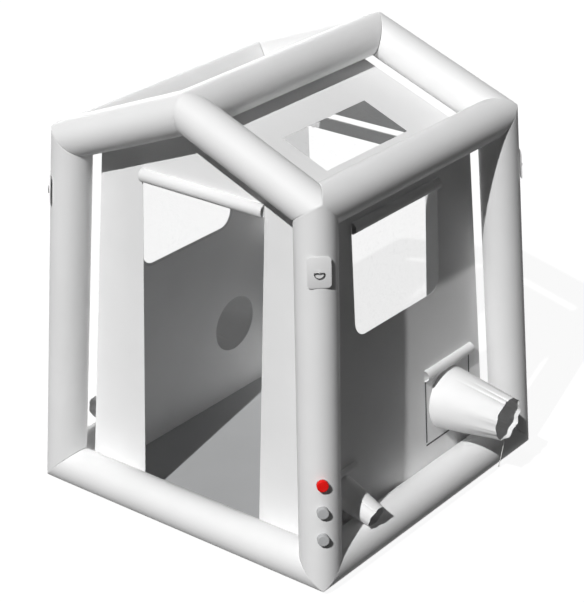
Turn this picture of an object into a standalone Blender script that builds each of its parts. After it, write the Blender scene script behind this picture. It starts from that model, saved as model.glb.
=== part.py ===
"""Inflatable decontamination tent: a frame of air beams with an inner tent hung inside it.

Metres, +Z up. The front gable faces -Y and the right wall faces +X.
The origin is on the ground, under the middle of the tent.
"""
import math

import bmesh
import bpy
from mathutils import Matrix, Vector

# Clearances
GAP = 0.0003
TURN_CLEARANCE = 0.0005

# Frame of air beams, measured to the axes of the beams
BEAM_RADIUS = 0.125
BEAM_WALL = 0.001
BEAM_SIDES = 32
BASE_SPAN = 2.042
EAVE_SPAN = 1.817
EAVE_HEIGHT = 2.325
RIDGE_HEIGHT = 2.682

# Inner tent
CLOTH = 0.001
FILM = 0.0008
FILM_MARGIN = 0.020

# Doorways in both gables
DOOR_WIDTH = 0.920
DOOR_SILL = 0.150
DOOR_HEAD_BELOW_EAVE = 0.165

# Windows in both side walls
WINDOW_WIDTH = 0.864
WINDOW_HEIGHT = 0.694
WINDOW_HEAD_BELOW_EAVE = 0.308
WINDOW_CORNER = 0.100

# Skylights in both roof slopes, measured along the slope
SKYLIGHT_LENGTH = 0.796
SKYLIGHT_WIDTH = 0.343
SKYLIGHT_FROM_RIDGE = 0.302

# Rolled-up covers
DOOR_ROLL_RADIUS = 0.044
WINDOW_ROLL_RADIUS = 0.038
AIR_ROLL_RADIUS = 0.039
HOSE_ROLL_RADIUS = 0.025
ROLL_TURNS = 2.2
ROLL_STEPS = 16
ROLL_PITCH = 0.0045
ROLL_CLOTH = 0.0025
ROLL_SEAM_ANGLE = math.radians(150)
ROLL_BACK_SHARE = 0.42
ROLL_EDGE_SHARPNESS = 10
ROLL_ABOVE_SLEEVE = 0.003

# Sleeves in both side walls: a large one for warm air near the back,
# and a small drooping one for hoses near the front
SLEEVE_CLOTH = 0.0012
SEAT_WIDTH = 0.008
AIR_SLEEVE_RADIUS = 0.205
AIR_MOUTH_RADIUS = 0.138
AIR_SLEEVE_LENGTH = 0.450
AIR_SLEEVE_DROOP = math.radians(1.5)
AIR_SLEEVE_HEIGHT = 0.553
AIR_SLEEVE_FROM_CORNER = 0.521
AIR_SLEEVE_FOLDS = 9
AIR_COVER_MARGIN = 0.0475
HOSE_SLEEVE_RADIUS = 0.100
HOSE_MOUTH_RADIUS = 0.071
HOSE_SLEEVE_LENGTH = 0.258
HOSE_SLEEVE_DROOP = math.radians(19.7)
HOSE_SLEEVE_HEIGHT = 0.396
HOSE_SLEEVE_FROM_CORNER = 0.408
HOSE_SLEEVE_FOLDS = 6
HOSE_COVER_MARGIN = 0.024
FOLD_DEPTH = 0.030
FOLD_DRIFT = 0.8
LIP_WAVE = 0.006
SLEEVE_ROWS = 3
SLEEVE_SIDES = 48

# Hook tape that holds the air sleeve's cover when it is rolled down
TAPE_WIDTH = 0.010
TAPE_THICKNESS = 0.0015
TAPE_INSET = 0.007

# Drawcord that hangs from the air sleeve's mouth
CORD_RADIUS = 0.0025
CORD_FROM_LIP = 0.012
CORD_ROUTE = (
    (0.000, 0.000, 0.000), (-0.002, -0.002, -0.020), (-0.006, -0.006, -0.052), (-0.010, -0.010, -0.088),
    (-0.014, -0.014, -0.127), (-0.019, -0.019, -0.162), (-0.023, -0.024, -0.190),
)
CORD_SAMPLES = 3
KNOT_RADII = (0.0045, 0.0062, 0.0066, 0.0062, 0.0045)
KNOT_STEP = 0.0028

# Tie-down patches high on the outer corner of every leg
TIE_BELOW_EAVE = 0.319
PATCH_WIDTH = 0.136
PATCH_HEIGHT = 0.182
PATCH_THICKNESS = 0.0025
PATCH_CORNER = 0.022
RING_WIRE = 0.003
RING_HALF_WIDTH = 0.034
RING_DROP = 0.045
RING_CORNER = 0.008
RING_STANDOFF = 0.009
RING_STEPS = 14
RING_SIDES = 8
KEEPER_WIDTH = 0.014
KEEPER_CLOTH = 0.0015
KEEPER_FOOT = 0.010

# Valves on the outer corner of the front right leg
VALVE_LOWEST = 0.382
VALVE_PITCH = 0.1725
VALVE_BORE_RADIUS = 0.018
VALVE_NECK_RADIUS = 0.026
VALVE_FLANGE_RADIUS = 0.0345
VALVE_FLANGE_HEIGHT = 0.006
VALVE_NECK_HEIGHT = 0.022
VALVE_WEB_HEIGHT = 0.004
VALVE_WEB = 0.003
VALVE_PORTS = 5
VALVE_PORT_RADIUS = 0.0045
VALVE_PORT_CIRCLE = 0.0110
VALVE_SIDES = 20
CAP_HEIGHT = 0.033
CAP_TOP = 0.006
CAP_CHAMFER = 0.003
PLUNGER_DISC_RADIUS = 0.0165
PLUNGER_DISC = 0.002
PLUNGER_STEM_RADIUS = 0.003
PLUNGER_BUTTON_RADIUS = 0.0055
PLUNGER_BUTTON = 0.002
PLUNGER_HEIGHT = 0.018

# Finishes: colour, roughness, metallic, alpha
FINISHES = {
    "beam_fabric": ((0.90, 0.90, 0.90), 0.45, 0.0, 1.0),
    "panel_fabric": ((0.88, 0.88, 0.88), 0.55, 0.0, 1.0),
    "floor_fabric": ((0.45, 0.46, 0.47), 0.60, 0.0, 1.0),
    "clear_film": ((0.93, 0.95, 0.96), 0.08, 0.0, 0.25),
    "hook_tape": ((0.22, 0.22, 0.23), 0.80, 0.0, 1.0),
    "drawcord": ((0.85, 0.85, 0.84), 0.70, 0.0, 1.0),
    "ring_steel": ((0.30, 0.30, 0.31), 0.35, 0.9, 1.0),
    "valve_plastic": ((0.50, 0.51, 0.52), 0.40, 0.0, 1.0),
    "red_plastic": ((0.80, 0.02, 0.02), 0.40, 0.0, 1.0),
}

SIDES = {"left": -1, "right": 1}
ENDS = {"front": -1, "back": 1}


def frame_corners():
    """Places where the beams' axes meet. The gables are flat, so the ridge ends lie in their planes."""
    lean = (BASE_SPAN - EAVE_SPAN) / 2 / (EAVE_HEIGHT - BEAM_RADIUS)
    ridge_end = BASE_SPAN / 2 - lean * (RIDGE_HEIGHT - BEAM_RADIUS)
    corners = {}
    for end, y in ENDS.items():
        for side, x in SIDES.items():
            corners[f"{end}_{side}_foot"] = Vector((x * BASE_SPAN / 2, y * BASE_SPAN / 2, BEAM_RADIUS))
            corners[f"{end}_{side}_eave"] = Vector((x * EAVE_SPAN / 2, y * EAVE_SPAN / 2, EAVE_HEIGHT))
        corners[f"{end}_ridge"] = Vector((0, y * ridge_end, RIDGE_HEIGHT))
    return corners


def frame_beams():
    """Name of every air beam, with the two corners that it joins."""
    beams = {"ridge_beam": ("front_ridge", "back_ridge")}
    for end in ENDS:
        beams[f"ground_beam_{end}"] = (f"{end}_left_foot", f"{end}_right_foot")
    for side in SIDES:
        beams[f"ground_beam_{side}"] = (f"front_{side}_foot", f"back_{side}_foot")
        beams[f"eave_beam_{side}"] = (f"front_{side}_eave", f"back_{side}_eave")
        for end in ENDS:
            beams[f"leg_{end}_{side}"] = (f"{end}_{side}_foot", f"{end}_{side}_eave")
            beams[f"rafter_{end}_{side}"] = (f"{end}_{side}_eave", f"{end}_ridge")
    return beams


def frame_faces():
    """Corners round every face of the frame."""
    faces = {"floor": [f"{end}_{side}_foot" for end in ENDS for side in SIDES]}
    for end in ENDS:
        faces[end] = [f"{end}_{side}_{place}" for side in SIDES for place in ("foot", "eave")]
        faces[end].append(f"{end}_ridge")
    for side in SIDES:
        faces[side] = [f"{end}_{side}_{place}" for end in ENDS for place in ("foot", "eave")]
        faces[f"roof_{side}"] = [f"{end}_{side}_eave" for end in ENDS] + [f"{end}_ridge" for end in ENDS]
    return faces


CORNERS = frame_corners()
BEAMS = frame_beams()
FACES = frame_faces()
TENT_MIDDLE = Vector((0, 0, EAVE_HEIGHT / 2))


def outward_normal(face):
    """Unit normal of a face of the frame, pointing out of the tent."""
    first, second, third = (CORNERS[name] for name in FACES[face][:3])
    normal = (second - first).cross(third - first).normalized()
    return normal if normal.dot(first - TENT_MIDDLE) > 0 else -normal


def skin_offset(face):
    """Distance of the inner tent's outer surface from the origin, along the face's normal."""
    if face == "floor":
        return 0.0
    return outward_normal(face).dot(CORNERS[FACES[face][0]]) - BEAM_RADIUS - GAP


def face_matrix(face):
    """Frame of a face: X to the right seen from outside, Y up the face, Z out of the tent.

    Its origin is where the skin meets the ground, or the middle of the ridge on a roof slope.
    """
    out = outward_normal(face)
    level = Vector((out.x, out.y, 0))
    if face == "floor":
        up, origin = Vector((0, 1, 0)), Vector((0, 0, 0))
    else:
        up = (Vector((0, 0, 1)) - out * out.z).normalized()
        origin = level * (skin_offset(face) / level.length_squared)
    if face.startswith("roof"):
        origin = Vector((0, 0, skin_offset(face) / out.z))
    across = up.cross(out)
    matrix = Matrix((across, up, out)).transposed().to_4x4()
    matrix.translation = origin
    return matrix


def up_the_face(face, height):
    """Distance up a wall at which it reaches a height above the ground."""
    return height / face_matrix(face).col[1].z


def finish_material(name):
    """Principled material for one of the named finishes."""
    material = bpy.data.materials.get(name)
    if material:
        return material
    colour, roughness, metallic, alpha = FINISHES[name]
    material = bpy.data.materials.new(name)
    material.use_nodes = True
    shader = material.node_tree.nodes["Principled BSDF"]
    shader.inputs["Base Color"].default_value = (*colour, 1.0)
    shader.inputs["Roughness"].default_value = roughness
    shader.inputs["Metallic"].default_value = metallic
    shader.inputs["Alpha"].default_value = alpha
    material.diffuse_color = (*colour, alpha)
    return material


def add_piece(name, bm, finish, matrix, smooth=True):
    """Turns a bmesh in the frame of matrix into a named object, with its faces pointing out."""
    bmesh.ops.recalc_face_normals(bm, faces=bm.faces)
    if bm.calc_volume(signed=True) < 0:
        bmesh.ops.reverse_faces(bm, faces=bm.faces)
    mesh = bpy.data.meshes.new(name)
    bm.to_mesh(mesh)
    bm.free()
    mesh.materials.append(finish_material(finish))
    if smooth:
        mesh.shade_smooth()
        mesh.set_sharp_from_angle(angle=math.radians(35))
    piece = bpy.data.objects.new(name, mesh)
    bpy.context.collection.objects.link(piece)
    piece.matrix_world = matrix
    return piece


def bridge_rings(bm, rings, closed=False):
    """Joins rings of the same number of vertices with quads, and the last to the first if closed."""
    pairs = list(zip(rings, rings[1:]))
    if closed:
        pairs.append((rings[-1], rings[0]))
    for low, high in pairs:
        for index in range(len(low)):
            after = (index + 1) % len(low)
            bm.faces.new((low[index], low[after], high[after], high[index]))


def extrude_outline(bm, outline, low, high):
    """Prism with an outline in X and Y, between two heights."""
    floor = [bm.verts.new((x, y, low)) for x, y in outline]
    roof = [bm.verts.new((x, y, high)) for x, y in outline]
    bm.faces.new(floor)
    bm.faces.new(roof)
    bridge_rings(bm, [floor, roof])


def circle_outline(centre, radius, sides=SLEEVE_SIDES):
    """Points round a circle, half a step away from its own axes."""
    angles = [math.tau * (step + 0.5) / sides for step in range(sides)]
    return [(centre[0] + radius * math.cos(angle), centre[1] + radius * math.sin(angle)) for angle in angles]


def panel_outline(left, right, bottom, top, low_corner=0.0, high_corner=0.0, steps=6):
    """Rectangle whose lower and upper corners are rounded to their own radii."""
    corners = (
        (right, bottom, low_corner, -90), (right, top, high_corner, 0),
        (left, top, high_corner, 90), (left, bottom, low_corner, 180),
    )
    outline = []
    for x, y, radius, start in corners:
        if radius == 0:
            outline.append((x, y))
            continue
        middle_x = x - math.copysign(radius, x - (left + right) / 2)
        middle_y = y - math.copysign(radius, y - (bottom + top) / 2)
        for step in range(steps + 1):
            angle = math.radians(start + 90 * step / steps)
            outline.append((middle_x + radius * math.cos(angle), middle_y + radius * math.sin(angle)))
    return outline


# Air beams

def mitre_start(axis, others, direction, radius):
    """How far along its axis a beam's skin starts, in one direction across it.

    The beams at a corner share it by the planes midway between their axes.
    """
    return GAP + max(radius * direction.dot(other) / (1 - axis.dot(other)) for other in others)


def beams_at(corner, name):
    """Unit directions of the other beams that leave a corner."""
    directions = []
    for other, ends in BEAMS.items():
        if other != name and corner in ends:
            far = ends[0] if ends[1] == corner else ends[1]
            directions.append((CORNERS[far] - CORNERS[corner]).normalized())
    return directions


def beam_directions(name, axis):
    """Directions round a beam at which its skin has vertices.

    They are even, apart from those where it touches a panel or the ground, and those of mitre creases.
    """
    ends = BEAMS[name]
    touching = [-outward_normal(face) for face, corners in FACES.items() if set(ends) <= set(corners)]
    touching = [direction if direction.z < 0.99 else -direction for direction in touching]
    across = touching[0]
    side = axis.cross(across)
    special = [math.atan2(way.dot(side), way.dot(across)) for way in touching]
    for corner, inward in zip(ends, (axis, -axis)):
        first, second = (other / (1 - inward.dot(other)) for other in beams_at(corner, name))
        crease = axis.cross(first - second)
        angle = math.atan2(crease.dot(side), crease.dot(across))
        special += [angle, angle + math.pi]
    special = sorted(angle % math.tau for angle in special)
    step = math.tau / BEAM_SIDES
    apart = [angle for index, angle in enumerate(special) if angle - special[index - 1] > 0.01 or index == 0]
    even = [
        step * index for index in range(BEAM_SIDES)
        if all(abs((step * index - angle + math.pi) % math.tau - math.pi) > step / 3 for angle in apart)
    ]
    return [across * math.cos(angle) + side * math.sin(angle) for angle in sorted(even + apart)]


def add_beam(name):
    """One air beam: a fabric pipe whose open ends are mitred against the two beams at each corner."""
    start, end = (CORNERS[corner] for corner in BEAMS[name])
    axis = (end - start).normalized()
    length = (end - start).length
    directions = beam_directions(name, axis)
    near, far = (beams_at(corner, name) for corner in BEAMS[name])
    rings = []
    bm = bmesh.new()
    for radius, from_start in ((BEAM_RADIUS, True), (BEAM_RADIUS, False),
                               (BEAM_RADIUS - BEAM_WALL, False), (BEAM_RADIUS - BEAM_WALL, True)):
        ring = []
        for direction in directions:
            if from_start:
                along = mitre_start(axis, near, direction, radius)
            else:
                along = length - mitre_start(-axis, far, direction, radius)
            ring.append(bm.verts.new(direction * radius + axis * along))
        rings.append(ring)
    bridge_rings(bm, rings, closed=True)
    return add_piece(name, bm, "beam_fabric", Matrix.Translation(start))


# Inner tent

def combine(piece, name, operation, bm, matrix):
    """Cuts the shape in a bmesh out of a piece, or joins it on."""
    tool = add_piece(f"{name}_tool", bm, piece.data.materials[0].name, matrix, smooth=False)
    tool.hide_render = True
    tool.display_type = "WIRE"
    step = piece.modifiers.new(name, "BOOLEAN")
    step.operation = operation
    step.solver = "EXACT"
    step.object = tool


def cut_opening(piece, name, outline, matrix, depth=0.05):
    """Cuts an opening with an outline in the plane of matrix through a piece."""
    bm = bmesh.new()
    extrude_outline(bm, outline, -depth, depth)
    combine(piece, name, "DIFFERENCE", bm, matrix)


def add_panel(name, face, finish):
    """Flat panel of the inner tent, inside the beams and mitred against the panels beside it."""
    normal, offset = outward_normal(face), skin_offset(face)
    bm = bmesh.new()
    bmesh.ops.create_cube(bm, size=2 * (BASE_SPAN + RIDGE_HEIGHT))
    cuts = [(normal, offset), (-normal, CLOTH - offset)]
    for other in FACES:
        if other != face:
            apart = outward_normal(other) - normal
            cuts.append((apart, skin_offset(other) - offset - GAP * apart.length / 2))
    for direction, distance in cuts:
        cut = bmesh.ops.bisect_plane(
            bm, geom=bm.verts[:] + bm.edges[:] + bm.faces[:], clear_outer=True, dist=1e-7,
            plane_co=direction * distance / direction.length_squared, plane_no=direction)
        rim = [edge for edge in cut["geom_cut"] if isinstance(edge, bmesh.types.BMEdge)]
        if rim:
            bmesh.ops.edgenet_fill(bm, edges=rim)
    matrix = face_matrix(face)
    bm.transform(matrix.inverted())
    return add_piece(name, bm, finish, matrix)


def add_film(name, matrix, outline):
    """Clear film welded to the inner side of a panel, over an opening."""
    bm = bmesh.new()
    top = -CLOTH - GAP
    extrude_outline(bm, outline, top - FILM, top)
    return add_piece(name, bm, "clear_film", matrix)


def roll_reach(angle, radius, middle):
    """Distance from the middle of a roll to its outside: a half circle with a flat back, corners eased."""
    reach = -middle * math.cos(angle) + math.sqrt(radius ** 2 - (middle * math.sin(angle)) ** 2)
    if math.cos(angle) >= 0:
        return reach
    back = -middle / math.cos(angle)
    return (reach ** -ROLL_EDGE_SHARPNESS + back ** -ROLL_EDGE_SHARPNESS) ** (-1 / ROLL_EDGE_SHARPNESS)


def add_roll(name, matrix, centre, half_length, radius):
    """Cover rolled up against a panel: a spiral of cloth, flat at the back, sewn on at its top edge."""
    middle = ROLL_BACK_SHARE * radius
    steps = round(ROLL_TURNS * ROLL_STEPS)
    section = []
    for inside in (False, True):
        for count in range(steps + 1):
            step = steps - count if inside else count
            angle = ROLL_SEAM_ANGLE - math.tau * step / ROLL_STEPS
            depth = ROLL_PITCH * step / ROLL_STEPS + (ROLL_CLOTH if inside else 0)
            reach = roll_reach(angle, radius, middle) * (1 - depth / radius)
            section.append((GAP + middle + reach * math.cos(angle), reach * math.sin(angle)))
    bm = bmesh.new()
    ends = []
    for x in (centre[0] - half_length, centre[0] + half_length):
        ends.append([bm.verts.new((x, centre[1] + rise, out)) for out, rise in section])
        bm.faces.new(ends[-1])
    bridge_rings(bm, ends)
    return add_piece(name, bm, "panel_fabric", matrix)


# Sleeves

def sleeve_point(matrix, centre, sleeve, angle, share, inset=0.0):
    """Point on a sleeve in the frame of its wall: angle round it, share of the way to its mouth.

    Gathers deepen towards the mouth, and the lip waves along the sleeve.
    """
    base_radius, mouth_radius, length, droop, folds = sleeve
    out = matrix.col[2].xyz
    level = Vector((out.x, out.y, 0)).normalized()
    heading = level * math.cos(droop) - Vector((0, 0, 1)) * math.sin(droop)
    heading = matrix.to_3x3().inverted() @ heading
    across = Vector((1, 0, 0))
    upward = heading.cross(across)
    gather = math.cos(folds * angle + FOLD_DRIFT * math.sin(2 * angle))
    mouth = mouth_radius * (1 + FOLD_DEPTH * gather) - inset
    base = Vector((math.cos(angle), math.sin(angle), 0)) * (base_radius - inset)
    lip = (across * math.cos(angle) + upward * math.sin(angle)) * mouth
    lip += heading * (length + LIP_WAVE * gather)
    plain = (across * math.cos(angle) + upward * math.sin(angle)) * (mouth_radius - inset)
    plain += heading * length
    straight = base.lerp(plain, share)
    gathered = base.lerp(lip, share)
    point = straight.lerp(gathered, share)
    return Vector((centre[0], centre[1], GAP)) + point


def add_sleeve(name, matrix, centre, sleeve, hand):
    """Tapered fabric sleeve that stands on a wall's opening, gathered at its mouth."""
    bm = bmesh.new()
    rings = []
    shares = [row / SLEEVE_ROWS for row in range(SLEEVE_ROWS + 1)]
    for inset, order in ((0.0, shares), (SLEEVE_CLOTH, shares[::-1])):
        for share in order:
            rings.append([
                bm.verts.new(sleeve_point(matrix, centre, sleeve, hand * math.tau * step / SLEEVE_SIDES,
                                          share, inset))
                for step in range(SLEEVE_SIDES)
            ])
    bridge_rings(bm, rings, closed=True)
    return add_piece(name, bm, "panel_fabric", matrix)


def add_cover_tape(name, matrix, centre, half_width, top, bottom):
    """Hook tape on a wall, folded round three sides of a sleeve: down both sides and along the foot."""
    outline = []
    for inset, way in ((TAPE_INSET, 1), (TAPE_INSET + TAPE_WIDTH, -1)):
        edge = half_width - inset
        foot = bottom + inset
        side = [(edge, top), (edge, foot), (-edge, foot), (-edge, top)]
        outline += [(centre[0] + x, y) for x, y in side[::way]]
    bm = bmesh.new()
    extrude_outline(bm, outline, GAP, GAP + TAPE_THICKNESS)
    return add_piece(name, bm, "hook_tape", matrix)


def smooth_route(points, samples):
    """Points of one smooth curve through a route's own points."""
    padded = [points[0] * 2 - points[1], *points, points[-1] * 2 - points[-2]]
    route = []
    for before, here, there, after in zip(padded, padded[1:], padded[2:], padded[3:]):
        for step in range(samples):
            t = step / samples
            route.append(0.5 * (2 * here + (there - before) * t
                                + (2 * before - 5 * here + 4 * there - after) * t ** 2
                                + (3 * here - before - 3 * there + after) * t ** 3))
    route.append(points[-1])
    return route


def add_cord(side, lip):
    """Drawcord that hangs from a sleeve's lip, thickened into a knot at its end."""
    name = f"drawcord_{side}"
    stops = [Vector((SIDES[side] * x, y, z)) for x, y, z in CORD_ROUTE]
    route = [(point, CORD_RADIUS) for point in smooth_route(stops, CORD_SAMPLES)]
    for radius in (*KNOT_RADII, CORD_RADIUS):
        route.append((route[-1][0] - Vector((0, 0, KNOT_STEP)), radius))
    curve = bpy.data.curves.new(name, "CURVE")
    curve.dimensions = "3D"
    curve.bevel_depth = CORD_RADIUS
    curve.bevel_resolution = 2
    curve.use_fill_caps = True
    spline = curve.splines.new("POLY")
    spline.points.add(len(route) - 1)
    for point, (place, radius) in zip(spline.points, route):
        point.co = (*place, 1)
        point.radius = radius / CORD_RADIUS
    curve.materials.append(finish_material("drawcord"))
    cord = bpy.data.objects.new(name, curve)
    bpy.context.collection.objects.link(cord)
    cord.location = lip


# Tie-down points and valves on the legs

def leg_matrix(leg, height):
    """Frame on a leg's outer corner: X round the leg, Y up it, Z out along the plan's diagonal."""
    foot, eave = (CORNERS[corner] for corner in BEAMS[leg])
    up = (eave - foot).normalized()
    out = Vector((foot.x, foot.y, 0))
    out = (out - up * out.dot(up)).normalized()
    matrix = Matrix((up.cross(out), up, out)).transposed().to_4x4()
    matrix.translation = foot + up * ((height - foot.z) / up.z) + out * BEAM_RADIUS
    return matrix


def keeper_section():
    """Side view of the webbing that holds a ring's bar on its patch: two feet and a loop.

    Heights are above the patch, in which its feet are sunk by half the patch's thickness.
    """
    low = -PATCH_THICKNESS / 2
    outside = RING_WIRE + TURN_CLEARANCE + KEEPER_CLOTH
    section = []
    for radius, ways in ((outside, (1, -1)), (outside - KEEPER_CLOTH, (-1, 1))):
        arc = [math.radians(180 * step / 8) for step in range(9)]
        if ways[0] < 0:
            arc = arc[::-1]
        loop = [(radius * math.cos(angle), RING_STANDOFF + radius * math.sin(angle)) for angle in arc]
        if radius == outside:
            foot = outside + KEEPER_FOOT
            section += [(foot, low), (foot, KEEPER_CLOTH), (outside, KEEPER_CLOTH)]
            section += loop
            section += [(-outside, KEEPER_CLOTH), (-foot, KEEPER_CLOTH), (-foot, low)]
        else:
            section += [(-radius, low)] + loop + [(radius, low)]
    return section


def add_tie_patch(leg, matrix):
    """Stiff patch welded on a leg, with the webbing keeper for its ring."""
    bm = bmesh.new()
    outline = panel_outline(-PATCH_WIDTH / 2, PATCH_WIDTH / 2, -PATCH_HEIGHT / 2, PATCH_HEIGHT / 2,
                            PATCH_CORNER, PATCH_CORNER)
    extrude_outline(bm, outline, GAP, GAP + PATCH_THICKNESS)
    name = leg.replace("leg", "tie_patch")
    patch = add_piece(name, bm, "panel_fabric", matrix)

    bm = bmesh.new()
    top = GAP + PATCH_THICKNESS
    ends = []
    for x in (-KEEPER_WIDTH / 2, KEEPER_WIDTH / 2):
        ends.append([bm.verts.new((x, up, top + out)) for up, out in keeper_section()])
        bm.faces.new(ends[-1])
    bridge_rings(bm, ends)
    combine(patch, f"{name}_keeper", "UNION", bm, matrix)


def ring_path():
    """Centre line of a D ring: a straight bar on top, rounded into a half ellipse below."""
    bar = RING_HALF_WIDTH - RING_CORNER
    path = [Vector((bar * way, 0, 0)) for way in (-1, -0.3, 0.3, 1)]
    for step in range(1, RING_STEPS):
        angle = math.radians(90) - math.radians(180) * step / RING_STEPS
        across = RING_HALF_WIDTH * math.copysign(abs(math.sin(angle)) ** 0.75, angle)
        path.append(Vector((across, -RING_DROP * math.cos(angle) ** 0.75, 0)))
    return path


def add_tie_ring(leg, matrix):
    """D ring that hangs plumb from its keeper and turns about its bar."""
    bar_centre = matrix @ Vector((0, 0, GAP + PATCH_THICKNESS + RING_STANDOFF))
    along = matrix.col[0].xyz
    plumb = Matrix((along, Vector((0, 0, 1)), along.cross(Vector((0, 0, 1))))).transposed().to_4x4()
    plumb.translation = bar_centre
    path = ring_path()
    bm = bmesh.new()
    rings = []
    for index, point in enumerate(path):
        heading = (path[(index + 1) % len(path)] - path[index - 1]).normalized()
        inward = heading.cross(Vector((0, 0, 1)))
        rings.append([
            bm.verts.new(point + RING_WIRE * (inward * math.cos(math.tau * side / RING_SIDES)
                                              + Vector((0, 0, math.sin(math.tau * side / RING_SIDES)))))
            for side in range(RING_SIDES)
        ])
    bridge_rings(bm, rings, closed=True)
    return add_piece(leg.replace("leg", "tie_ring"), bm, "ring_steel", plumb)


def turned_rings(bm, profile, saddle=0):
    """Rings of a turned piece, one for each radius and height.

    The first rings, as many as saddle says, follow the leg's round skin instead of lying flat.
    """
    rings = []
    for index, (radius, height) in enumerate(profile):
        ring = []
        for step in range(VALVE_SIDES):
            angle = math.tau * step / VALVE_SIDES
            x, y = radius * math.cos(angle), radius * math.sin(angle)
            sunk = math.sqrt(BEAM_RADIUS ** 2 - x ** 2) - BEAM_RADIUS if index < saddle else 0
            ring.append(bm.verts.new((x, y, height + sunk)))
        rings.append(ring)
    return rings


def add_valve_body(name, matrix):
    """Body of a valve: a flange on the skin, a neck, and a web with ports round the plunger's guide."""
    web_top = VALVE_WEB_HEIGHT + VALVE_WEB
    guide = PLUNGER_STEM_RADIUS + TURN_CLEARANCE
    bm = bmesh.new()
    profile = [
        (VALVE_BORE_RADIUS, GAP), ((VALVE_BORE_RADIUS + VALVE_FLANGE_RADIUS) / 2, GAP), (VALVE_FLANGE_RADIUS, GAP),
        (VALVE_FLANGE_RADIUS, VALVE_FLANGE_HEIGHT), (VALVE_NECK_RADIUS, VALVE_FLANGE_HEIGHT),
        (VALVE_NECK_RADIUS, VALVE_NECK_HEIGHT), (VALVE_BORE_RADIUS, VALVE_NECK_HEIGHT),
        (VALVE_BORE_RADIUS, web_top), (guide, web_top), (guide, VALVE_WEB_HEIGHT),
        (VALVE_BORE_RADIUS, VALVE_WEB_HEIGHT),
    ]
    bridge_rings(bm, turned_rings(bm, profile, saddle=3), closed=True)
    body = add_piece(f"{name}_body", bm, "valve_plastic", matrix)
    for port in range(VALVE_PORTS):
        angle = math.tau * port / VALVE_PORTS
        centre = (VALVE_PORT_CIRCLE * math.cos(angle), VALVE_PORT_CIRCLE * math.sin(angle))
        cut_opening(body, f"{name}_port_{port}", circle_outline(centre, VALVE_PORT_RADIUS, 12), matrix, web_top * 2)


def add_valve_cap(name, matrix, finish):
    """Quarter-turn cap that covers the neck of a valve."""
    inside = VALVE_NECK_RADIUS + TURN_CLEARANCE
    skirt = VALVE_FLANGE_HEIGHT + GAP
    bm = bmesh.new()
    profile = [
        (inside, CAP_HEIGHT - CAP_TOP), (inside, skirt), (VALVE_FLANGE_RADIUS, skirt),
        (VALVE_FLANGE_RADIUS, CAP_HEIGHT - CAP_CHAMFER), (VALVE_FLANGE_RADIUS - CAP_CHAMFER, CAP_HEIGHT),
    ]
    rings = turned_rings(bm, profile)
    bm.faces.new(rings[0])
    bm.faces.new(rings[-1])
    bridge_rings(bm, rings)
    add_piece(f"{name}_cap", bm, finish, matrix)


def add_valve_plunger(name, matrix):
    """Plunger of a valve: a disc that closes the ports from inside, its stem, and the button that opens it."""
    disc_top = VALVE_WEB_HEIGHT - GAP
    bm = bmesh.new()
    profile = [
        (PLUNGER_DISC_RADIUS, disc_top - PLUNGER_DISC), (PLUNGER_DISC_RADIUS, disc_top),
        (PLUNGER_STEM_RADIUS, disc_top), (PLUNGER_STEM_RADIUS, PLUNGER_HEIGHT - PLUNGER_BUTTON),
        (PLUNGER_BUTTON_RADIUS, PLUNGER_HEIGHT - PLUNGER_BUTTON), (PLUNGER_BUTTON_RADIUS, PLUNGER_HEIGHT),
    ]
    rings = turned_rings(bm, profile)
    bm.faces.new(rings[0])
    bm.faces.new(rings[-1])
    bridge_rings(bm, rings)
    add_piece(f"{name}_plunger", bm, "valve_plastic", matrix)


def add_valve(name, height, finish):
    """Valve on the front right leg, over a hole in its skin."""
    matrix = leg_matrix("leg_front_right", height)
    cut_opening(bpy.data.objects["leg_front_right"], name,
                circle_outline((0, 0), VALVE_BORE_RADIUS, VALVE_SIDES), matrix, BEAM_RADIUS / 2)
    add_valve_body(name, matrix)
    add_valve_cap(name, matrix, finish)
    add_valve_plunger(name, matrix)


# Assembly

def add_gable(end):
    """Gable panel with its doorway, and the door curtain rolled up over it."""
    panel = add_panel(f"gable_{end}", end, "panel_fabric")
    matrix = face_matrix(end)
    head = up_the_face(end, EAVE_HEIGHT - DOOR_HEAD_BELOW_EAVE)
    sill = up_the_face(end, DOOR_SILL)
    outline = panel_outline(-DOOR_WIDTH / 2, DOOR_WIDTH / 2, sill, head)
    cut_opening(panel, f"doorway_{end}", outline, matrix)
    add_roll(f"door_roll_{end}", matrix, (0, head), DOOR_WIDTH / 2, DOOR_ROLL_RADIUS)


def add_sleeve_set(face, matrix, panel, kind, sleeve, from_corner, height, margin, roll_radius):
    """Opening, sleeve and rolled cover of one of a wall's sleeves. Returns its centre on the wall."""
    back = 1 if kind == "air" else -1
    hand = SIDES[face]
    centre = (hand * back * (BASE_SPAN / 2 - from_corner), up_the_face(face, height))
    hole = circle_outline(centre, sleeve[0] - SLEEVE_CLOTH - SEAT_WIDTH)
    cut_opening(panel, f"{kind}_opening_{face}", hole, matrix)
    add_sleeve(f"{kind}_sleeve_{face}", matrix, centre, sleeve, hand)
    rise = sleeve[0] + roll_radius + ROLL_ABOVE_SLEEVE
    add_roll(f"{kind}_cover_roll_{face}", matrix, (centre[0], centre[1] + rise), sleeve[0] + margin, roll_radius)
    return centre


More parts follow.
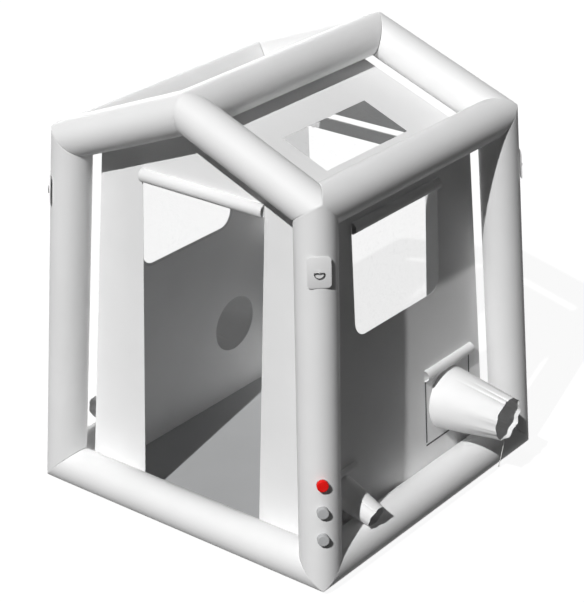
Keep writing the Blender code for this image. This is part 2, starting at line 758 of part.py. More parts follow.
def add_wall(face):
    """Side wall panel with its window, its two sleeves and their covers."""
    panel = add_panel(f"wall_{face}", face, "panel_fabric")
    matrix = face_matrix(face)
    head = up_the_face(face, EAVE_HEIGHT - WINDOW_HEAD_BELOW_EAVE)
    sill = head - WINDOW_HEIGHT
    half = WINDOW_WIDTH / 2
    cut_opening(panel, f"window_{face}", panel_outline(-half, half, sill, head, WINDOW_CORNER), matrix)
    margin = FILM_MARGIN
    add_film(f"window_film_{face}", matrix,
             panel_outline(-half - margin, half + margin, sill - margin, head + margin, WINDOW_CORNER + margin))
    add_roll(f"window_roll_{face}", matrix, (0, head), half, WINDOW_ROLL_RADIUS)

    air = (AIR_SLEEVE_RADIUS, AIR_MOUTH_RADIUS, AIR_SLEEVE_LENGTH, AIR_SLEEVE_DROOP, AIR_SLEEVE_FOLDS)
    centre = add_sleeve_set(face, matrix, panel, "air", air, AIR_SLEEVE_FROM_CORNER, AIR_SLEEVE_HEIGHT,
                            AIR_COVER_MARGIN, AIR_ROLL_RADIUS)
    top = centre[1] + AIR_SLEEVE_RADIUS + ROLL_ABOVE_SLEEVE - GAP
    half_cover = AIR_SLEEVE_RADIUS + AIR_COVER_MARGIN
    add_cover_tape(f"cover_tape_{face}", matrix, centre, half_cover, top, centre[1] - half_cover)
    lip_share = 1 - CORD_FROM_LIP / AIR_SLEEVE_LENGTH
    lip = matrix @ sleeve_point(matrix, centre, air, -math.pi / 2, lip_share)
    add_cord(face, lip - Vector((0, 0, CORD_RADIUS / 4 + GAP)))

    hose = (HOSE_SLEEVE_RADIUS, HOSE_MOUTH_RADIUS, HOSE_SLEEVE_LENGTH, HOSE_SLEEVE_DROOP, HOSE_SLEEVE_FOLDS)
    add_sleeve_set(face, matrix, panel, "hose", hose, HOSE_SLEEVE_FROM_CORNER, HOSE_SLEEVE_HEIGHT,
                   HOSE_COVER_MARGIN, HOSE_ROLL_RADIUS)


def add_roof(side):
    """Roof panel with its skylight."""
    face = f"roof_{side}"
    panel = add_panel(f"roof_panel_{side}", face, "panel_fabric")
    matrix = face_matrix(face)
    half = SKYLIGHT_LENGTH / 2
    top = -SKYLIGHT_FROM_RIDGE
    cut_opening(panel, f"skylight_{side}", panel_outline(-half, half, top - SKYLIGHT_WIDTH, top), matrix)
    margin = FILM_MARGIN
    add_film(f"skylight_film_{side}", matrix,
             panel_outline(-half - margin, half + margin, top - SKYLIGHT_WIDTH - margin, top + margin))


def add_tent():
    """Builds every piece of the tent."""
    for name in BEAMS:
        add_beam(name)
    add_panel("floor_sheet", "floor", "floor_fabric")
    for end in ENDS:
        add_gable(end)
    for side in SIDES:
        add_wall(side)
        add_roof(side)
    for leg in (name for name in BEAMS if name.startswith("leg")):
        matrix = leg_matrix(leg, EAVE_HEIGHT - TIE_BELOW_EAVE)
        add_tie_patch(leg, matrix)
        add_tie_ring(leg, matrix)
    valves = (("deflate_valve", "valve_plastic"), ("inflate_valve", "valve_plastic"), ("relief_valve", "red_plastic"))
    for index, (name, finish) in enumerate(valves):
        add_valve(name, VALVE_LOWEST + index * VALVE_PITCH, finish)


def clear_scene():
    """Removes whatever the scene holds."""
    for item in list(bpy.data.objects):
        bpy.data.objects.remove(item, do_unlink=True)


clear_scene()
add_tent()
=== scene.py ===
"""Looks of an inflatable decontamination tent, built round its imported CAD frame.

A frame of air beams stands over an inner tent of coated cloth. Everything is in metres, with Z up:
the front gable faces -Y, the right wall faces +X, and the origin is on the ground under the middle.
"""
from __future__ import annotations

import logging
import math
from collections.abc import Sequence
from dataclasses import dataclass, field
from enum import Enum

import bmesh
import bpy
from mathutils import Matrix, Vector, noise

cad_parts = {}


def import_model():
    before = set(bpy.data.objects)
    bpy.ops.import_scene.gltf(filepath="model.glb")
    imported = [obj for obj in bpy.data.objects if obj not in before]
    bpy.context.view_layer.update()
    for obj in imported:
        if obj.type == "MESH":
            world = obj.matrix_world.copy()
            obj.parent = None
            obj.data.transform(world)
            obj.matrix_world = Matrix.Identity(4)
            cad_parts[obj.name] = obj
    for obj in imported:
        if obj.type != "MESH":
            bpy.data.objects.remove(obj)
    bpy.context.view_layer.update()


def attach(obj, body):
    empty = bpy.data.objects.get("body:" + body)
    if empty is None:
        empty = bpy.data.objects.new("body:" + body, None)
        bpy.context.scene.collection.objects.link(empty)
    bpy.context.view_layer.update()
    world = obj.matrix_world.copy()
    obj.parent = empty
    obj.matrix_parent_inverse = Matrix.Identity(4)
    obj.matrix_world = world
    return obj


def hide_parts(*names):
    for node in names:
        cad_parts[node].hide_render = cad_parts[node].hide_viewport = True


LOG = logging.getLogger("tent")
TENT = "tent"
UP = Vector((0, 0, 1))

Colour = tuple[float, float, float]
Outline = list[tuple[float, float]]

WHITE: Colour = (1.0, 1.0, 1.0)


class Named(Enum):
    """A choice whose word stands in the names of nodes."""

    @property
    def word(self) -> str:
        """The choice's name, as a node's name has it."""
        return self.name.lower()


class Side(Named):
    """The two side walls, as the sign of X."""

    LEFT = -1
    RIGHT = 1


class End(Named):
    """The two gables, as the sign of Y."""

    FRONT = -1
    BACK = 1


class Slot(Enum):
    """The record's material slots."""

    BEAM = "beam_fabric"
    PANEL = "panel_fabric"
    FLOOR = "floor_fabric"
    FILM = "clear_film"
    TAPE = "hook_tape"
    CORD = "drawcord"
    RING = "ring_steel"
    PLASTIC = "valve_plastic"
    RED = "red_plastic"


# Shader writing


class Signal:
    """A socket's value, on which Python's operators write Math nodes."""

    def __init__(self, writer: NodeWriter, socket: bpy.types.NodeSocket | None) -> None:
        """Wraps a socket of the writer's tree."""
        self.writer = writer
        self.socket = socket

    def _math(self, operation: str, first: Signal | float, second: Signal | float,
              clamp: bool = False) -> Signal:
        """Writes one Math node."""
        settings = {"operation": operation, "use_clamp": clamp}
        return self.writer.node("ShaderNodeMath", settings, {0: first, 1: second})

    def __add__(self, other: Signal | float) -> Signal:
        """Sum."""
        return self._math("ADD", self, other)

    __radd__ = __add__

    def __sub__(self, other: Signal | float) -> Signal:
        """Difference."""
        return self._math("SUBTRACT", self, other)

    def __rsub__(self, other: float) -> Signal:
        """Difference from a number, as in 1 - mask."""
        return self._math("SUBTRACT", other, self)

    def __mul__(self, other: Signal | float) -> Signal:
        """Product."""
        return self._math("MULTIPLY", self, other)

    __rmul__ = __mul__

    def __or__(self, other: Signal) -> Signal:
        """1 where either of two switches is 1."""
        return self._math("ADD", self, other, clamp=True)

    def ramp(self, low: float, high: float) -> Signal:
        """Smooth step from 0 to 1.

        Args:
            low: The value at which the step starts.
            high: The value at which it ends.

        Returns:
            The step's signal.
        """
        settings = {"interpolation_type": "SMOOTHSTEP"}
        return self.writer.node("ShaderNodeMapRange", settings, {0: self, 1: low, 2: high})


class NodeWriter:
    """Writes the node tree of a new material, or of the world."""

    DULL = 0.3
    # The Wave texture's scale at which one wave is a metre long
    ONE_WAVE = math.tau / 20

    def __init__(self, owner: bpy.types.Material | bpy.types.World) -> None:
        """Starts an empty tree.

        Args:
            owner: The material or the world that the tree belongs to.
        """
        owner.use_nodes = True
        self.owner = owner
        self.tree = owner.node_tree
        self.tree.nodes.clear()

    def node(self, kind: str, settings: dict[str, object], inputs: dict[int | str, object],
             output: int | str = 0) -> Signal:
        """Adds any node.

        Args:
            kind: The node's type.
            settings: Its own settings, such as a Math node's operation, which are set first.
            inputs: The values of its sockets, a colour as three numbers, or the signals linked to them.
            output: The socket that the signal reads.

        Returns:
            The signal of that output, which is empty for an output node.
        """
        made = self.tree.nodes.new(kind)
        for setting, value in settings.items():
            setattr(made, setting, value)
        for key, value in inputs.items():
            if isinstance(value, Signal):
                self.tree.links.new(value.socket, made.inputs[key])
            else:
                made.inputs[key].default_value = (*value, 1.0) if isinstance(value, tuple) else value
        return Signal(self, made.outputs[output] if len(made.outputs) else None)

    def place(self) -> Signal:
        """Place on the tent, in metres."""
        return self.node("ShaderNodeTexCoord", {}, {}, "Object")

    def cloth_place(self) -> Signal:
        """Place on the cut cloth, in metres along its threads."""
        return self.node("ShaderNodeUVMap", {"uv_map": Form.CLOTH}, {})

    def height(self) -> Signal:
        """Height on the tent, in metres."""
        return self.node("ShaderNodeSeparateXYZ", {}, {0: self.place()}, 2)

    def clouds(self, place: Signal, scale: float, detail: float = 2.0, roughness: float = 0.5) -> Signal:
        """Soft noise from 0 to 1, with scale patches to the metre."""
        inputs = {"Vector": place, "Scale": scale, "Detail": detail, "Roughness": roughness}
        return self.node("ShaderNodeTexNoise", {}, inputs)

    def threads(self, thread: float, direction: str) -> Signal:
        """Parallel threads of a cloth.

        Args:
            thread: The distance from thread to thread, in metres.
            direction: X or Y, the way across the threads.

        Returns:
            A wave from 0 to 1.
        """
        inputs = {"Vector": self.cloth_place(), "Scale": self.ONE_WAVE / thread}
        return self.node("ShaderNodeTexWave", {"bands_direction": direction}, inputs, 1)

    def weave(self, thread: float) -> Signal:
        """Threads both ways, raised to 1 where they cross."""
        return self.threads(thread, "X") * self.threads(thread, "Y")

    def mix(self, share: Signal | float, first: Colour | Signal, second: Colour | Signal) -> Signal:
        """Mixes two colours, from the first to the second, through the Mix node's colour sockets."""
        return self.node("ShaderNodeMix", {"data_type": "RGBA"}, {0: share, 6: first, 7: second}, 2)

    def bump(self, relief: Signal, depth: float, under: Signal | None = None) -> Signal:
        """Relief on a surface.

        Args:
            relief: Its height, from 0 to 1.
            depth: What a height of 1 stands for, in metres.
            under: The bump below it.

        Returns:
            The bumped normal.
        """
        inputs: dict[int | str, object] = {"Strength": 1.0, "Distance": depth, "Height": relief}
        if under:
            inputs["Normal"] = under
        return self.node("ShaderNodeBump", {}, inputs)

    def seen(self) -> Signal:
        """Tells what the camera sees, also in gloss and through film.

        Returns:
            A switch that is 1 for it.
        """
        camera, gloss, film = (self.node("ShaderNodeLightPath", {}, {}, f"Is {kind} Ray")
                               for kind in ("Camera", "Glossy", "Transmission"))
        return camera | gloss | film

    def surface(self, **sockets: object) -> bpy.types.Material:
        """Closes the tree with a Principled shader.

        Args:
            **sockets: Its sockets, with underscores for spaces.

        Returns:
            The finished material.
        """
        inputs = {name.replace("_", " "): value for name, value in sockets.items()}
        inputs.setdefault("Specular IOR Level", self.DULL)
        self.close(self.node("ShaderNodeBsdfPrincipled", {}, inputs))
        return self.owner

    def close(self, shader: Signal, kind: str = "ShaderNodeOutputMaterial") -> None:
        """Links a shader to the tree's output."""
        self.node(kind, {}, {"Surface": shader})


# Finishes


def shaded(colour: Colour, share: float) -> Colour:
    """Colour made darker or lighter by one factor."""
    return tuple(share * part for part in colour)


@dataclass(frozen=True)
class CoatedCloth:
    """Polyester cloth with a smooth coating, through which the weave still shows a little."""

    name: str
    colour: Colour
    roughness: float = 0.46
    thread: float = 0.0012
    weave_depth: float = 0.00005
    crinkle: float = 9.0
    crinkle_depth: float = 0.0011
    weld_depth: float = 0.0004
    weld_gloss: float = 0.06
    shade: float = 0.965
    patch: float = 1.9
    patch_edges: tuple[float, float] = (0.30, 0.70)
    scuff: float = 38.0
    scuff_edges: tuple[float, float] = (0.40, 0.75)
    scuff_dulling: float = 0.10
    dust: float = 0.10
    dust_height: float = 0.10
    dust_colour: Colour = (0.539, 0.5115, 0.462)

    def material(self) -> bpy.types.Material:
        """Builds the cloth's material.

        Returns:
            The material, with weave, crinkles, welds, mottling and dust near the ground.
        """
        w = NodeWriter(bpy.data.materials.new(self.name))
        place = w.place()
        patches = w.clouds(place, self.patch, detail=3.0)
        crinkles = w.clouds(place, self.crinkle, detail=3.0, roughness=0.45)
        scuffs = w.clouds(place, self.scuff, detail=4.0, roughness=0.65)
        weld = w.node("ShaderNodeAttribute", {"attribute_name": Form.WELD}, {}, "Fac")
        dusty = (1.0 - w.height().ramp(0.0, self.dust_height)) * scuffs.ramp(*self.scuff_edges) * self.dust
        clean = w.mix(patches.ramp(*self.patch_edges), shaded(self.colour, self.shade), self.colour)
        normal = w.bump(crinkles, self.crinkle_depth)
        normal = w.bump(w.weave(self.thread), self.weave_depth, normal)
        normal = w.bump(weld, self.weld_depth, normal)
        return w.surface(
            Base_Color=w.mix(dusty, clean, self.dust_colour),
            Roughness=self.roughness + self.scuff_dulling * scuffs - self.weld_gloss * weld,
            Normal=normal)


@dataclass(frozen=True)
class ClearFilm:
    """Soft clear film, a little wavy and faintly milky."""

    name: str
    colour: Colour
    haze: float = 0.07
    roughness: float = 0.10
    wave: float = 6.0
    wave_depth: float = 0.0035
    streak: float = 55.0
    streak_edges: tuple[float, float] = (0.5, 0.8)
    streak_haze: float = 0.05
    streak_dulling: float = 0.10

    def material(self) -> bpy.types.Material:
        """Builds the film's material.

        Returns:
            The material, which lets most light through.
        """
        w = NodeWriter(bpy.data.materials.new(self.name))
        place = w.place()
        waves = w.clouds(place, self.wave, roughness=0.4)
        streaks = w.clouds(place, self.streak, detail=4.0, roughness=0.7)
        return w.surface(
            Base_Color=w.mix(streaks, self.colour, WHITE),
            Roughness=self.roughness + self.streak_dulling * streaks,
            Alpha=self.haze + self.streak_haze * streaks.ramp(*self.streak_edges),
            Normal=w.bump(waves, self.wave_depth))


@dataclass(frozen=True)
class MouldedPlastic:
    """Moulded plastic with a fine grain."""

    name: str
    colour: Colour
    roughness: float = 0.38
    specular: float = 0.14
    shade: float = 0.93
    flow: float = 24.0
    grain: float = 900.0
    grain_depth: float = 0.00006
    grain_dulling: float = 0.12

    def material(self) -> bpy.types.Material:
        """Builds the plastic's material.

        Returns:
            The material, with the grain of its mould and faint flow marks.
        """
        w = NodeWriter(bpy.data.materials.new(self.name))
        place = w.place()
        grain = w.clouds(place, self.grain)
        flow = w.clouds(place, self.flow, detail=3.0)
        return w.surface(
            Base_Color=w.mix(flow, shaded(self.colour, self.shade), self.colour),
            Roughness=self.roughness + self.grain_dulling * grain,
            Specular_IOR_Level=self.specular,
            Normal=w.bump(grain, self.grain_depth))


@dataclass(frozen=True)
class CoatedSteel:
    """Dark coated wire, rubbed a little brighter in scattered spots."""

    name: str
    colour: Colour
    bare: Colour = (0.32, 0.32, 0.33)
    roughness: float = 0.36
    metallic: float = 0.15
    rub: float = 130.0
    rub_edges: tuple[float, float] = (0.62, 0.74)
    rub_share: float = 0.5
    rub_metallic: float = 0.6
    grain: float = 700.0
    grain_depth: float = 0.00005
    grain_dulling: float = 0.16

    def material(self) -> bpy.types.Material:
        """Builds the wire's material.

        Returns:
            The material, with bare metal in the rubbed spots.
        """
        w = NodeWriter(bpy.data.materials.new(self.name))
        place = w.place()
        rubbed = w.clouds(place, self.rub, detail=4.0, roughness=0.7).ramp(*self.rub_edges) * self.rub_share
        grain = w.clouds(place, self.grain)
        return w.surface(
            Base_Color=w.mix(rubbed, self.colour, self.bare),
            Roughness=self.roughness + self.grain_dulling * grain,
            Metallic=self.metallic + self.rub_metallic * rubbed,
            Normal=w.bump(grain, self.grain_depth))


@dataclass(frozen=True)
class HookTape:
    """Woven tape set with rows of small hooks."""

    name: str
    colour: Colour
    hook: float = 0.0016
    hook_depth: float = 0.0006
    hook_shade: float = 1.9
    hook_gloss: float = 0.10
    roughness: float = 0.88

    def material(self) -> bpy.types.Material:
        """Builds the tape's material.

        Returns:
            The material, with a painted highlight that makes its raised hooks paler than the tape between
            them.
        """
        w = NodeWriter(bpy.data.materials.new(self.name))
        hooks = w.weave(self.hook)
        # Painted highlight: the raised hooks get a paler colour than the tape between them
        return w.surface(
            Base_Color=w.mix(hooks, self.colour, shaded(self.colour, self.hook_shade)),
            Roughness=self.roughness - self.hook_gloss * hooks,
            Normal=w.bump(hooks, self.hook_depth))


@dataclass(frozen=True)
class BraidedCord:
    """White cord, braided."""

    name: str
    colour: Colour
    braid: float = 0.0022
    braid_depth: float = 0.0005
    braid_shade: float = 0.78
    braid_dulling: float = 0.12
    looseness: float = 0.35
    roughness: float = 0.72

    def material(self) -> bpy.types.Material:
        """Builds the cord's material.

        Returns:
            The material, with painted shade darkening its strands where they meet, in the crevices of the
            braid.
        """
        w = NodeWriter(bpy.data.materials.new(self.name))
        inputs = {"Vector": w.place(), "Scale": 1.0 / self.braid, "Randomness": self.looseness}
        strands = w.node("ShaderNodeTexVoronoi", {}, inputs)
        # Painted shade: the colour darkens towards the crevices where the strands meet
        return w.surface(
            Base_Color=w.mix(strands, self.colour, shaded(self.colour, self.braid_shade)),
            Roughness=self.roughness + self.braid_dulling * strands,
            Normal=w.bump(1.0 - strands, self.braid_depth))


class Finishes:
    """The materials of the record's slots."""

    def __init__(self) -> None:
        """Builds each finish once."""
        kinds = {
            Slot.BEAM: CoatedCloth("beam_cloth", (0.86, 0.86, 0.86)),
            Slot.PANEL: CoatedCloth("panel_cloth", (0.85, 0.85, 0.85), roughness=0.52, crinkle_depth=0.0008),
            Slot.FLOOR: CoatedCloth("floor_cloth", (0.44, 0.445, 0.45), roughness=0.55, dust=0.0),
            Slot.FILM: ClearFilm("window_film", (0.93, 0.95, 0.96)),
            Slot.TAPE: HookTape("hook_tape", (0.10, 0.10, 0.104)),
            Slot.CORD: BraidedCord("white_cord", (0.84, 0.84, 0.82)),
            Slot.RING: CoatedSteel("ring_wire", (0.035, 0.035, 0.037)),
            Slot.PLASTIC: MouldedPlastic("grey_plastic", (0.50, 0.505, 0.51)),
            Slot.RED: MouldedPlastic("red_plastic", (0.86, 0.012, 0.010)),
        }
        self.of = {slot: finish.material() for slot, finish in kinds.items()}


# Mesh making


class Form:
    """A surface in the making, with coordinates in metres along its cloth and marks where it is welded."""

    CLOTH = "cloth"
    WELD = "weld"

    def __init__(self) -> None:
        """Starts an empty surface."""
        self.mesh = bmesh.new()
        self.cloth = self.mesh.loops.layers.uv.new(self.CLOTH)
        self.weld = self.mesh.verts.layers.float.new(self.WELD)

    def vertex(self, point: Vector, weld: float) -> bmesh.types.BMVert:
        """Adds one point.

        Args:
            point: Its place.
            weld: How much the cloth is welded there, from 0 to 1.

        Returns:
            The vertex.
        """
        made = self.mesh.verts.new(point)
        made[self.weld] = weld
        return made

    def lattice(self, rows: Sequence[Sequence[Vector]], ring: bool = True, loop: bool = False,
                welds: Sequence[float] | None = None) -> list[list[bmesh.types.BMVert]]:
        """Adds quads through rows of as many points each, with lengths along the rows as cloth coordinates.

        Args:
            rows: The points.
            ring: Whether each row closes on itself.
            loop: Whether the last row joins the first.
            welds: How much each row is welded, from 0 to 1.

        Returns:
            The rows of vertices.
        """
        marks = welds or [0.0] * len(rows)
        verts = [[self.vertex(point, mark) for point in row] for row, mark in zip(rows, marks)]
        count = len(rows[0])
        across = []
        for row in rows:
            lengths = [0.0]
            for index in range(count):
                lengths.append(lengths[-1] + (row[(index + 1) % count] - row[index]).length)
            across.append(lengths)
        down = [0.0]
        for index in range(len(rows)):
            down.append(down[-1] + (rows[(index + 1) % len(rows)][0] - rows[index][0]).length)
        for first in range(len(rows) if loop else len(rows) - 1):
            second = (first + 1) % len(rows)
            for index in range(count if ring else count - 1):
                after = (index + 1) % count
                face = self.mesh.faces.new((verts[first][index], verts[first][after],
                                            verts[second][after], verts[second][index]))
                places = ((across[first][index], down[first]),
                          (across[first][index + 1], down[first]),
                          (across[second][index + 1], down[first + 1]),
                          (across[second][index], down[first + 1]))
                for corner, place in zip(face.loops, places):
                    corner[self.cloth].uv = place
        return verts

    def cap(self, verts: Sequence[bmesh.types.BMVert]) -> None:
        """Closes a row with one face."""
        self.mesh.faces.new(verts)

    def body(self, rows: Sequence[Sequence[Vector]]) -> None:
        """Adds a closed body, with walls through the rows and a face on the first and the last.

        Args:
            rows: The points.
        """
        verts = self.lattice(rows)
        self.cap(verts[0])
        self.cap(verts[-1])

    def prism(self, outline: Outline, low: float, high: float) -> None:
        """Adds a prism between two heights."""
        self.body([[Vector((x, y, z)) for x, y in outline] for z in (low, high)])

    def wire(self, path: Sequence[Vector], radius: float, sides: int) -> None:
        """Adds a round wire along a closed path that nowhere runs straight up.

        Args:
            path: The points of its middle line.
            radius: The wire's radius.
            sides: How many sides it has.
        """
        turns = [math.tau * side / sides for side in range(sides)]
        rows = []
        for index, point in enumerate(path):
            heading = (path[(index + 1) % len(path)] - path[index - 1]).normalized()
            across = heading.cross(UP).normalized()
            beside = heading.cross(across)
            rows.append([point + radius * (across * math.cos(turn) + beside * math.sin(turn))
                         for turn in turns])
        self.lattice(rows, loop=True)

    def map_flat(self) -> None:
        """Takes the cloth coordinates from X and Y."""
        for face in self.mesh.faces:
            for corner in face.loops:
                corner[self.cloth].uv = corner.vert.co.xy

    def piece(self, name: str, material: bpy.types.Material, matrix: Matrix | None = None,
              sharp: float = 40.0) -> bpy.types.Object:
        """Turns the surface into an object in the tent's frame.

        Args:
            name: The object's name.
            material: Its material.
            matrix: The frame that its points are in.
            sharp: The angle in degrees over which an edge is sharp, or 0 for flat faces.

        Returns:
            The object.
        """
        if matrix:
            self.mesh.transform(matrix)
        bmesh.ops.recalc_face_normals(self.mesh, faces=self.mesh.faces)
        if self.mesh.calc_volume(signed=True) < 0:
            bmesh.ops.reverse_faces(self.mesh, faces=self.mesh.faces)
        mesh = bpy.data.meshes.new(name)
        self.mesh.to_mesh(mesh)
        self.mesh.free()
        mesh.materials.append(material)
        if sharp:
            mesh.shade_smooth()
            mesh.set_sharp_from_angle(angle=math.radians(sharp))
        made = bpy.data.objects.new(name, mesh)
        bpy.context.collection.objects.link(made)
        return made


def make_cutter(name: str, outline: Outline, reach: float, material: bpy.types.Material,
                matrix: Matrix) -> bpy.types.Object:
    """Makes the closed body that cuts one opening.

    Args:
        name: The body's name.
        outline: The opening's outline.
        reach: How far the body goes to either side of the outline's plane.
        material: The finish of the edges that it cuts.
        matrix: The frame that the outline is in.

    Returns:
        The body.
    """
    form = Form()
    form.prism(outline, -reach, reach)
    return form.piece(name, material, matrix, sharp=0)


def cut_openings(piece: bpy.types.Object, cutters: Sequence[bpy.types.Object]) -> None:
    """Cuts openings through a piece for good, and removes the cutters.

    Args:
        piece: The object that is cut.
        cutters: Closed objects of the openings' shapes.
    """
    for cutter in cutters:
        step = piece.modifiers.new(cutter.name, "BOOLEAN")
        step.operation = "DIFFERENCE"
        step.solver = "EXACT"
        step.object = cutter
    shaped = piece.evaluated_get(bpy.context.evaluated_depsgraph_get())
    mesh = bpy.data.meshes.new_from_object(shaped)
    plain = piece.data
    piece.modifiers.clear()
    piece.data = mesh
    bpy.data.meshes.remove(plain)
    for cutter in cutters:
        bpy.data.meshes.remove(cutter.data)


def add_piece(piece: bpy.types.Object, slot: Slot, *nodes: str, body: str = TENT) -> bpy.types.Object:
    """Makes an object part of the tent.

    Args:
        piece: The object.
        slot: Not used.
        *nodes: The CAD nodes that it stands for.
        body: The CAD body that it moves with.

    Returns:
        The object.
    """
    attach(piece, body)
    if nodes:
        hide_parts(*nodes)
    LOG.info("%s rides on %s for %s", piece.name, body, ", ".join(nodes) or "itself")
    return piece


def frame_matrix(across: Vector, up: Vector, out: Vector, origin: Vector) -> Matrix:
    """Matrix of a frame.

    Args:
        across: The direction of its X axis.
        up: The direction of its Y axis.
        out: The direction of its Z axis.
        origin: Its origin.

    Returns:
        The matrix that takes the frame's points into the tent's.
    """
    matrix = Matrix((across, up, out)).transposed().to_4x4()
    matrix.translation = origin
    return matrix


def rounded_box(left: float, right: float, bottom: float, top: float, low: float = 0.0, high: float = 0.0,
                steps: int = 10) -> Outline:
    """Rectangle whose corners may be rounded.

    Args:
        left: Its left edge.
        right: Its right edge.
        bottom: Its lower edge.
        top: Its upper edge.
        low: The radius of its lower corners.
        high: The radius of its upper corners.
        steps: The number of steps round a corner.

    Returns:
        The outline's points.
    """
    corners = ((right, bottom, low, -90), (right, top, high, 0),
               (left, top, high, 90), (left, bottom, low, 180))
    outline = []
    for x, y, radius, start in corners:
        if radius == 0:
            outline.append((x, y))
            continue
        middle_x = x - math.copysign(radius, x - (left + right) / 2)
        middle_y = y - math.copysign(radius, y - (bottom + top) / 2)
        for step in range(steps + 1):
            angle = math.radians(start + 90 * step / steps)
            outline.append((middle_x + radius * math.cos(angle), middle_y + radius * math.sin(angle)))
    return outline


def circle(centre: tuple[float, float], radius: float, sides: int = 96) -> Outline:
    """Points round a circle."""
    angles = [math.tau * (step + 0.5) / sides for step in range(sides)]
    return [(centre[0] + radius * math.cos(angle), centre[1] + radius * math.sin(angle)) for angle in angles]


def smooth_step(share: float) -> float:
    """Smooth rise from 0 to 1."""
    share = min(max(share, 0.0), 1.0)
    return share * share * (3 - 2 * share)


# The tent's shape


@dataclass
class TentShape:
    """Driving dimensions of the frame, and the places worked out from them."""

    gap: float = 0.0003
    beam_radius: float = 0.125
    beam_wall: float = 0.001
    foot_span: float = 2.042
    eave_span: float = 1.817
    eave_height: float = 2.325
    ridge_height: float = 2.682
    cloth: float = 0.001
    corners: dict[str, Vector] = field(init=False)
    beams: dict[str, tuple[str, str]] = field(init=False)
    faces: dict[str, list[str]] = field(init=False)

    def __post_init__(self) -> None:
        """Works out the corners, beams and faces."""
        lean = (self.foot_span - self.eave_span) / 2 / (self.eave_height - self.beam_radius)
        ridge_end = self.foot_span / 2 - lean * (self.ridge_height - self.beam_radius)
        foot, eave = self.foot_span / 2, self.eave_span / 2
        self.corners, self.beams = {}, {"ridge_beam": ("front_ridge", "back_ridge")}
        self.faces = {"floor": [], "roof_left": [], "roof_right": []}
        for end in End:
            for side in Side:
                name = f"{end.word}_{side.word}"
                self.corners[f"{name}_foot"] = Vector((side.value * foot, end.value * foot, self.beam_radius))
                self.corners[f"{name}_eave"] = Vector((side.value * eave, end.value * eave, self.eave_height))
                self.beams[f"leg_{name}"] = (f"{name}_foot", f"{name}_eave")
                self.beams[f"rafter_{name}"] = (f"{name}_eave", f"{end.word}_ridge")
                self.faces["floor"].append(f"{name}_foot")
                self.faces[f"roof_{side.word}"].append(f"{name}_eave")
                self.faces.setdefault(side.word, []).extend((f"{name}_foot", f"{name}_eave"))
                self.faces.setdefault(end.word, []).extend((f"{name}_foot", f"{name}_eave"))
            self.corners[f"{end.word}_ridge"] = Vector((0, end.value * ridge_end, self.ridge_height))
            self.beams[f"ground_beam_{end.word}"] = (f"{end.word}_left_foot", f"{end.word}_right_foot")
            self.faces[end.word].append(f"{end.word}_ridge")
        for side in Side:
            self.beams[f"ground_beam_{side.word}"] = (f"front_{side.word}_foot", f"back_{side.word}_foot")
            self.beams[f"eave_beam_{side.word}"] = (f"front_{side.word}_eave", f"back_{side.word}_eave")
            self.faces[f"roof_{side.word}"] += ["front_ridge", "back_ridge"]

    def normal(self, face: str) -> Vector:
        """Finds which way a face looks.

        Args:
            face: The face's name.

        Returns:
            Its unit normal, pointing out of the tent.
        """
        first, second, third = (self.corners[name] for name in self.faces[face][:3])
        out = (second - first).cross(third - first).normalized()
        return out if out.dot(first - Vector((0, 0, self.eave_height / 2))) > 0 else -out

    def offset(self, face: str) -> float:
        """Finds how far out the inner tent goes.

        Args:
            face: The face's name.

        Returns:
            The distance of the cloth's outer side from the origin, along the face's normal.
        """
        if face == "floor":
            return 0.0
        return self.normal(face).dot(self.corners[self.faces[face][0]]) - self.beam_radius - self.gap

    def matrix(self, face: str) -> Matrix:
        """Builds the frame of a face.

        Args:
            face: The face's name.

        Returns:
            The frame: X to the right seen from outside, Y up the face, and Z out of the tent.
        """
        out = self.normal(face)
        if face == "floor":
            up, origin = Vector((0, 1, 0)), Vector((0, 0, 0))
        else:
            up = (UP - out * out.z).normalized()
            level = Vector((out.x, out.y, 0))
            origin = level * (self.offset(face) / level.length_squared)
        if face.startswith("roof"):
            origin = UP * (self.offset(face) / out.z)
        return frame_matrix(up.cross(out), up, out, origin)

    def up_face(self, face: str, height: float) -> float:
        """Distance up a wall at which it reaches a height above the ground."""
        return height / self.matrix(face).col[1].z

    def neighbours(self, corner: str, beam: str) -> list[Vector]:
        """Finds the other beams at a corner.

        Args:
            corner: The corner's name.
            beam: The beam that is left out.

        Returns:
            The unit directions in which they leave the corner.
        """
        found = []
        for other, ends in self.beams.items():
            if other != beam and corner in ends:
                far = ends[0] if ends[1] == corner else ends[1]
                found.append((self.corners[far] - self.corners[corner]).normalized())
        return found

    def leg_matrix(self, end: End, side: Side, height: float) -> Matrix:
        """Builds a frame on the outer corner of a leg.

        Args:
            end: The gable that the leg belongs to.
            side: The side that it stands on.
            height: The height of the frame's origin above the ground.

        Returns:
            The frame: X round the leg, Y up it, and Z out along the plan's diagonal.
        """
        foot, eave = (self.corners[f"{end.word}_{side.word}_{place}"] for place in ("foot", "eave"))
        up = (eave - foot).normalized()
        out = Vector((foot.x, foot.y, 0))
        out = (out - up * out.dot(up)).normalized()
        skin = foot + up * ((height - foot.z) / up.z) + out * self.beam_radius
        return frame_matrix(up.cross(out), up, out, skin)


# Air beams


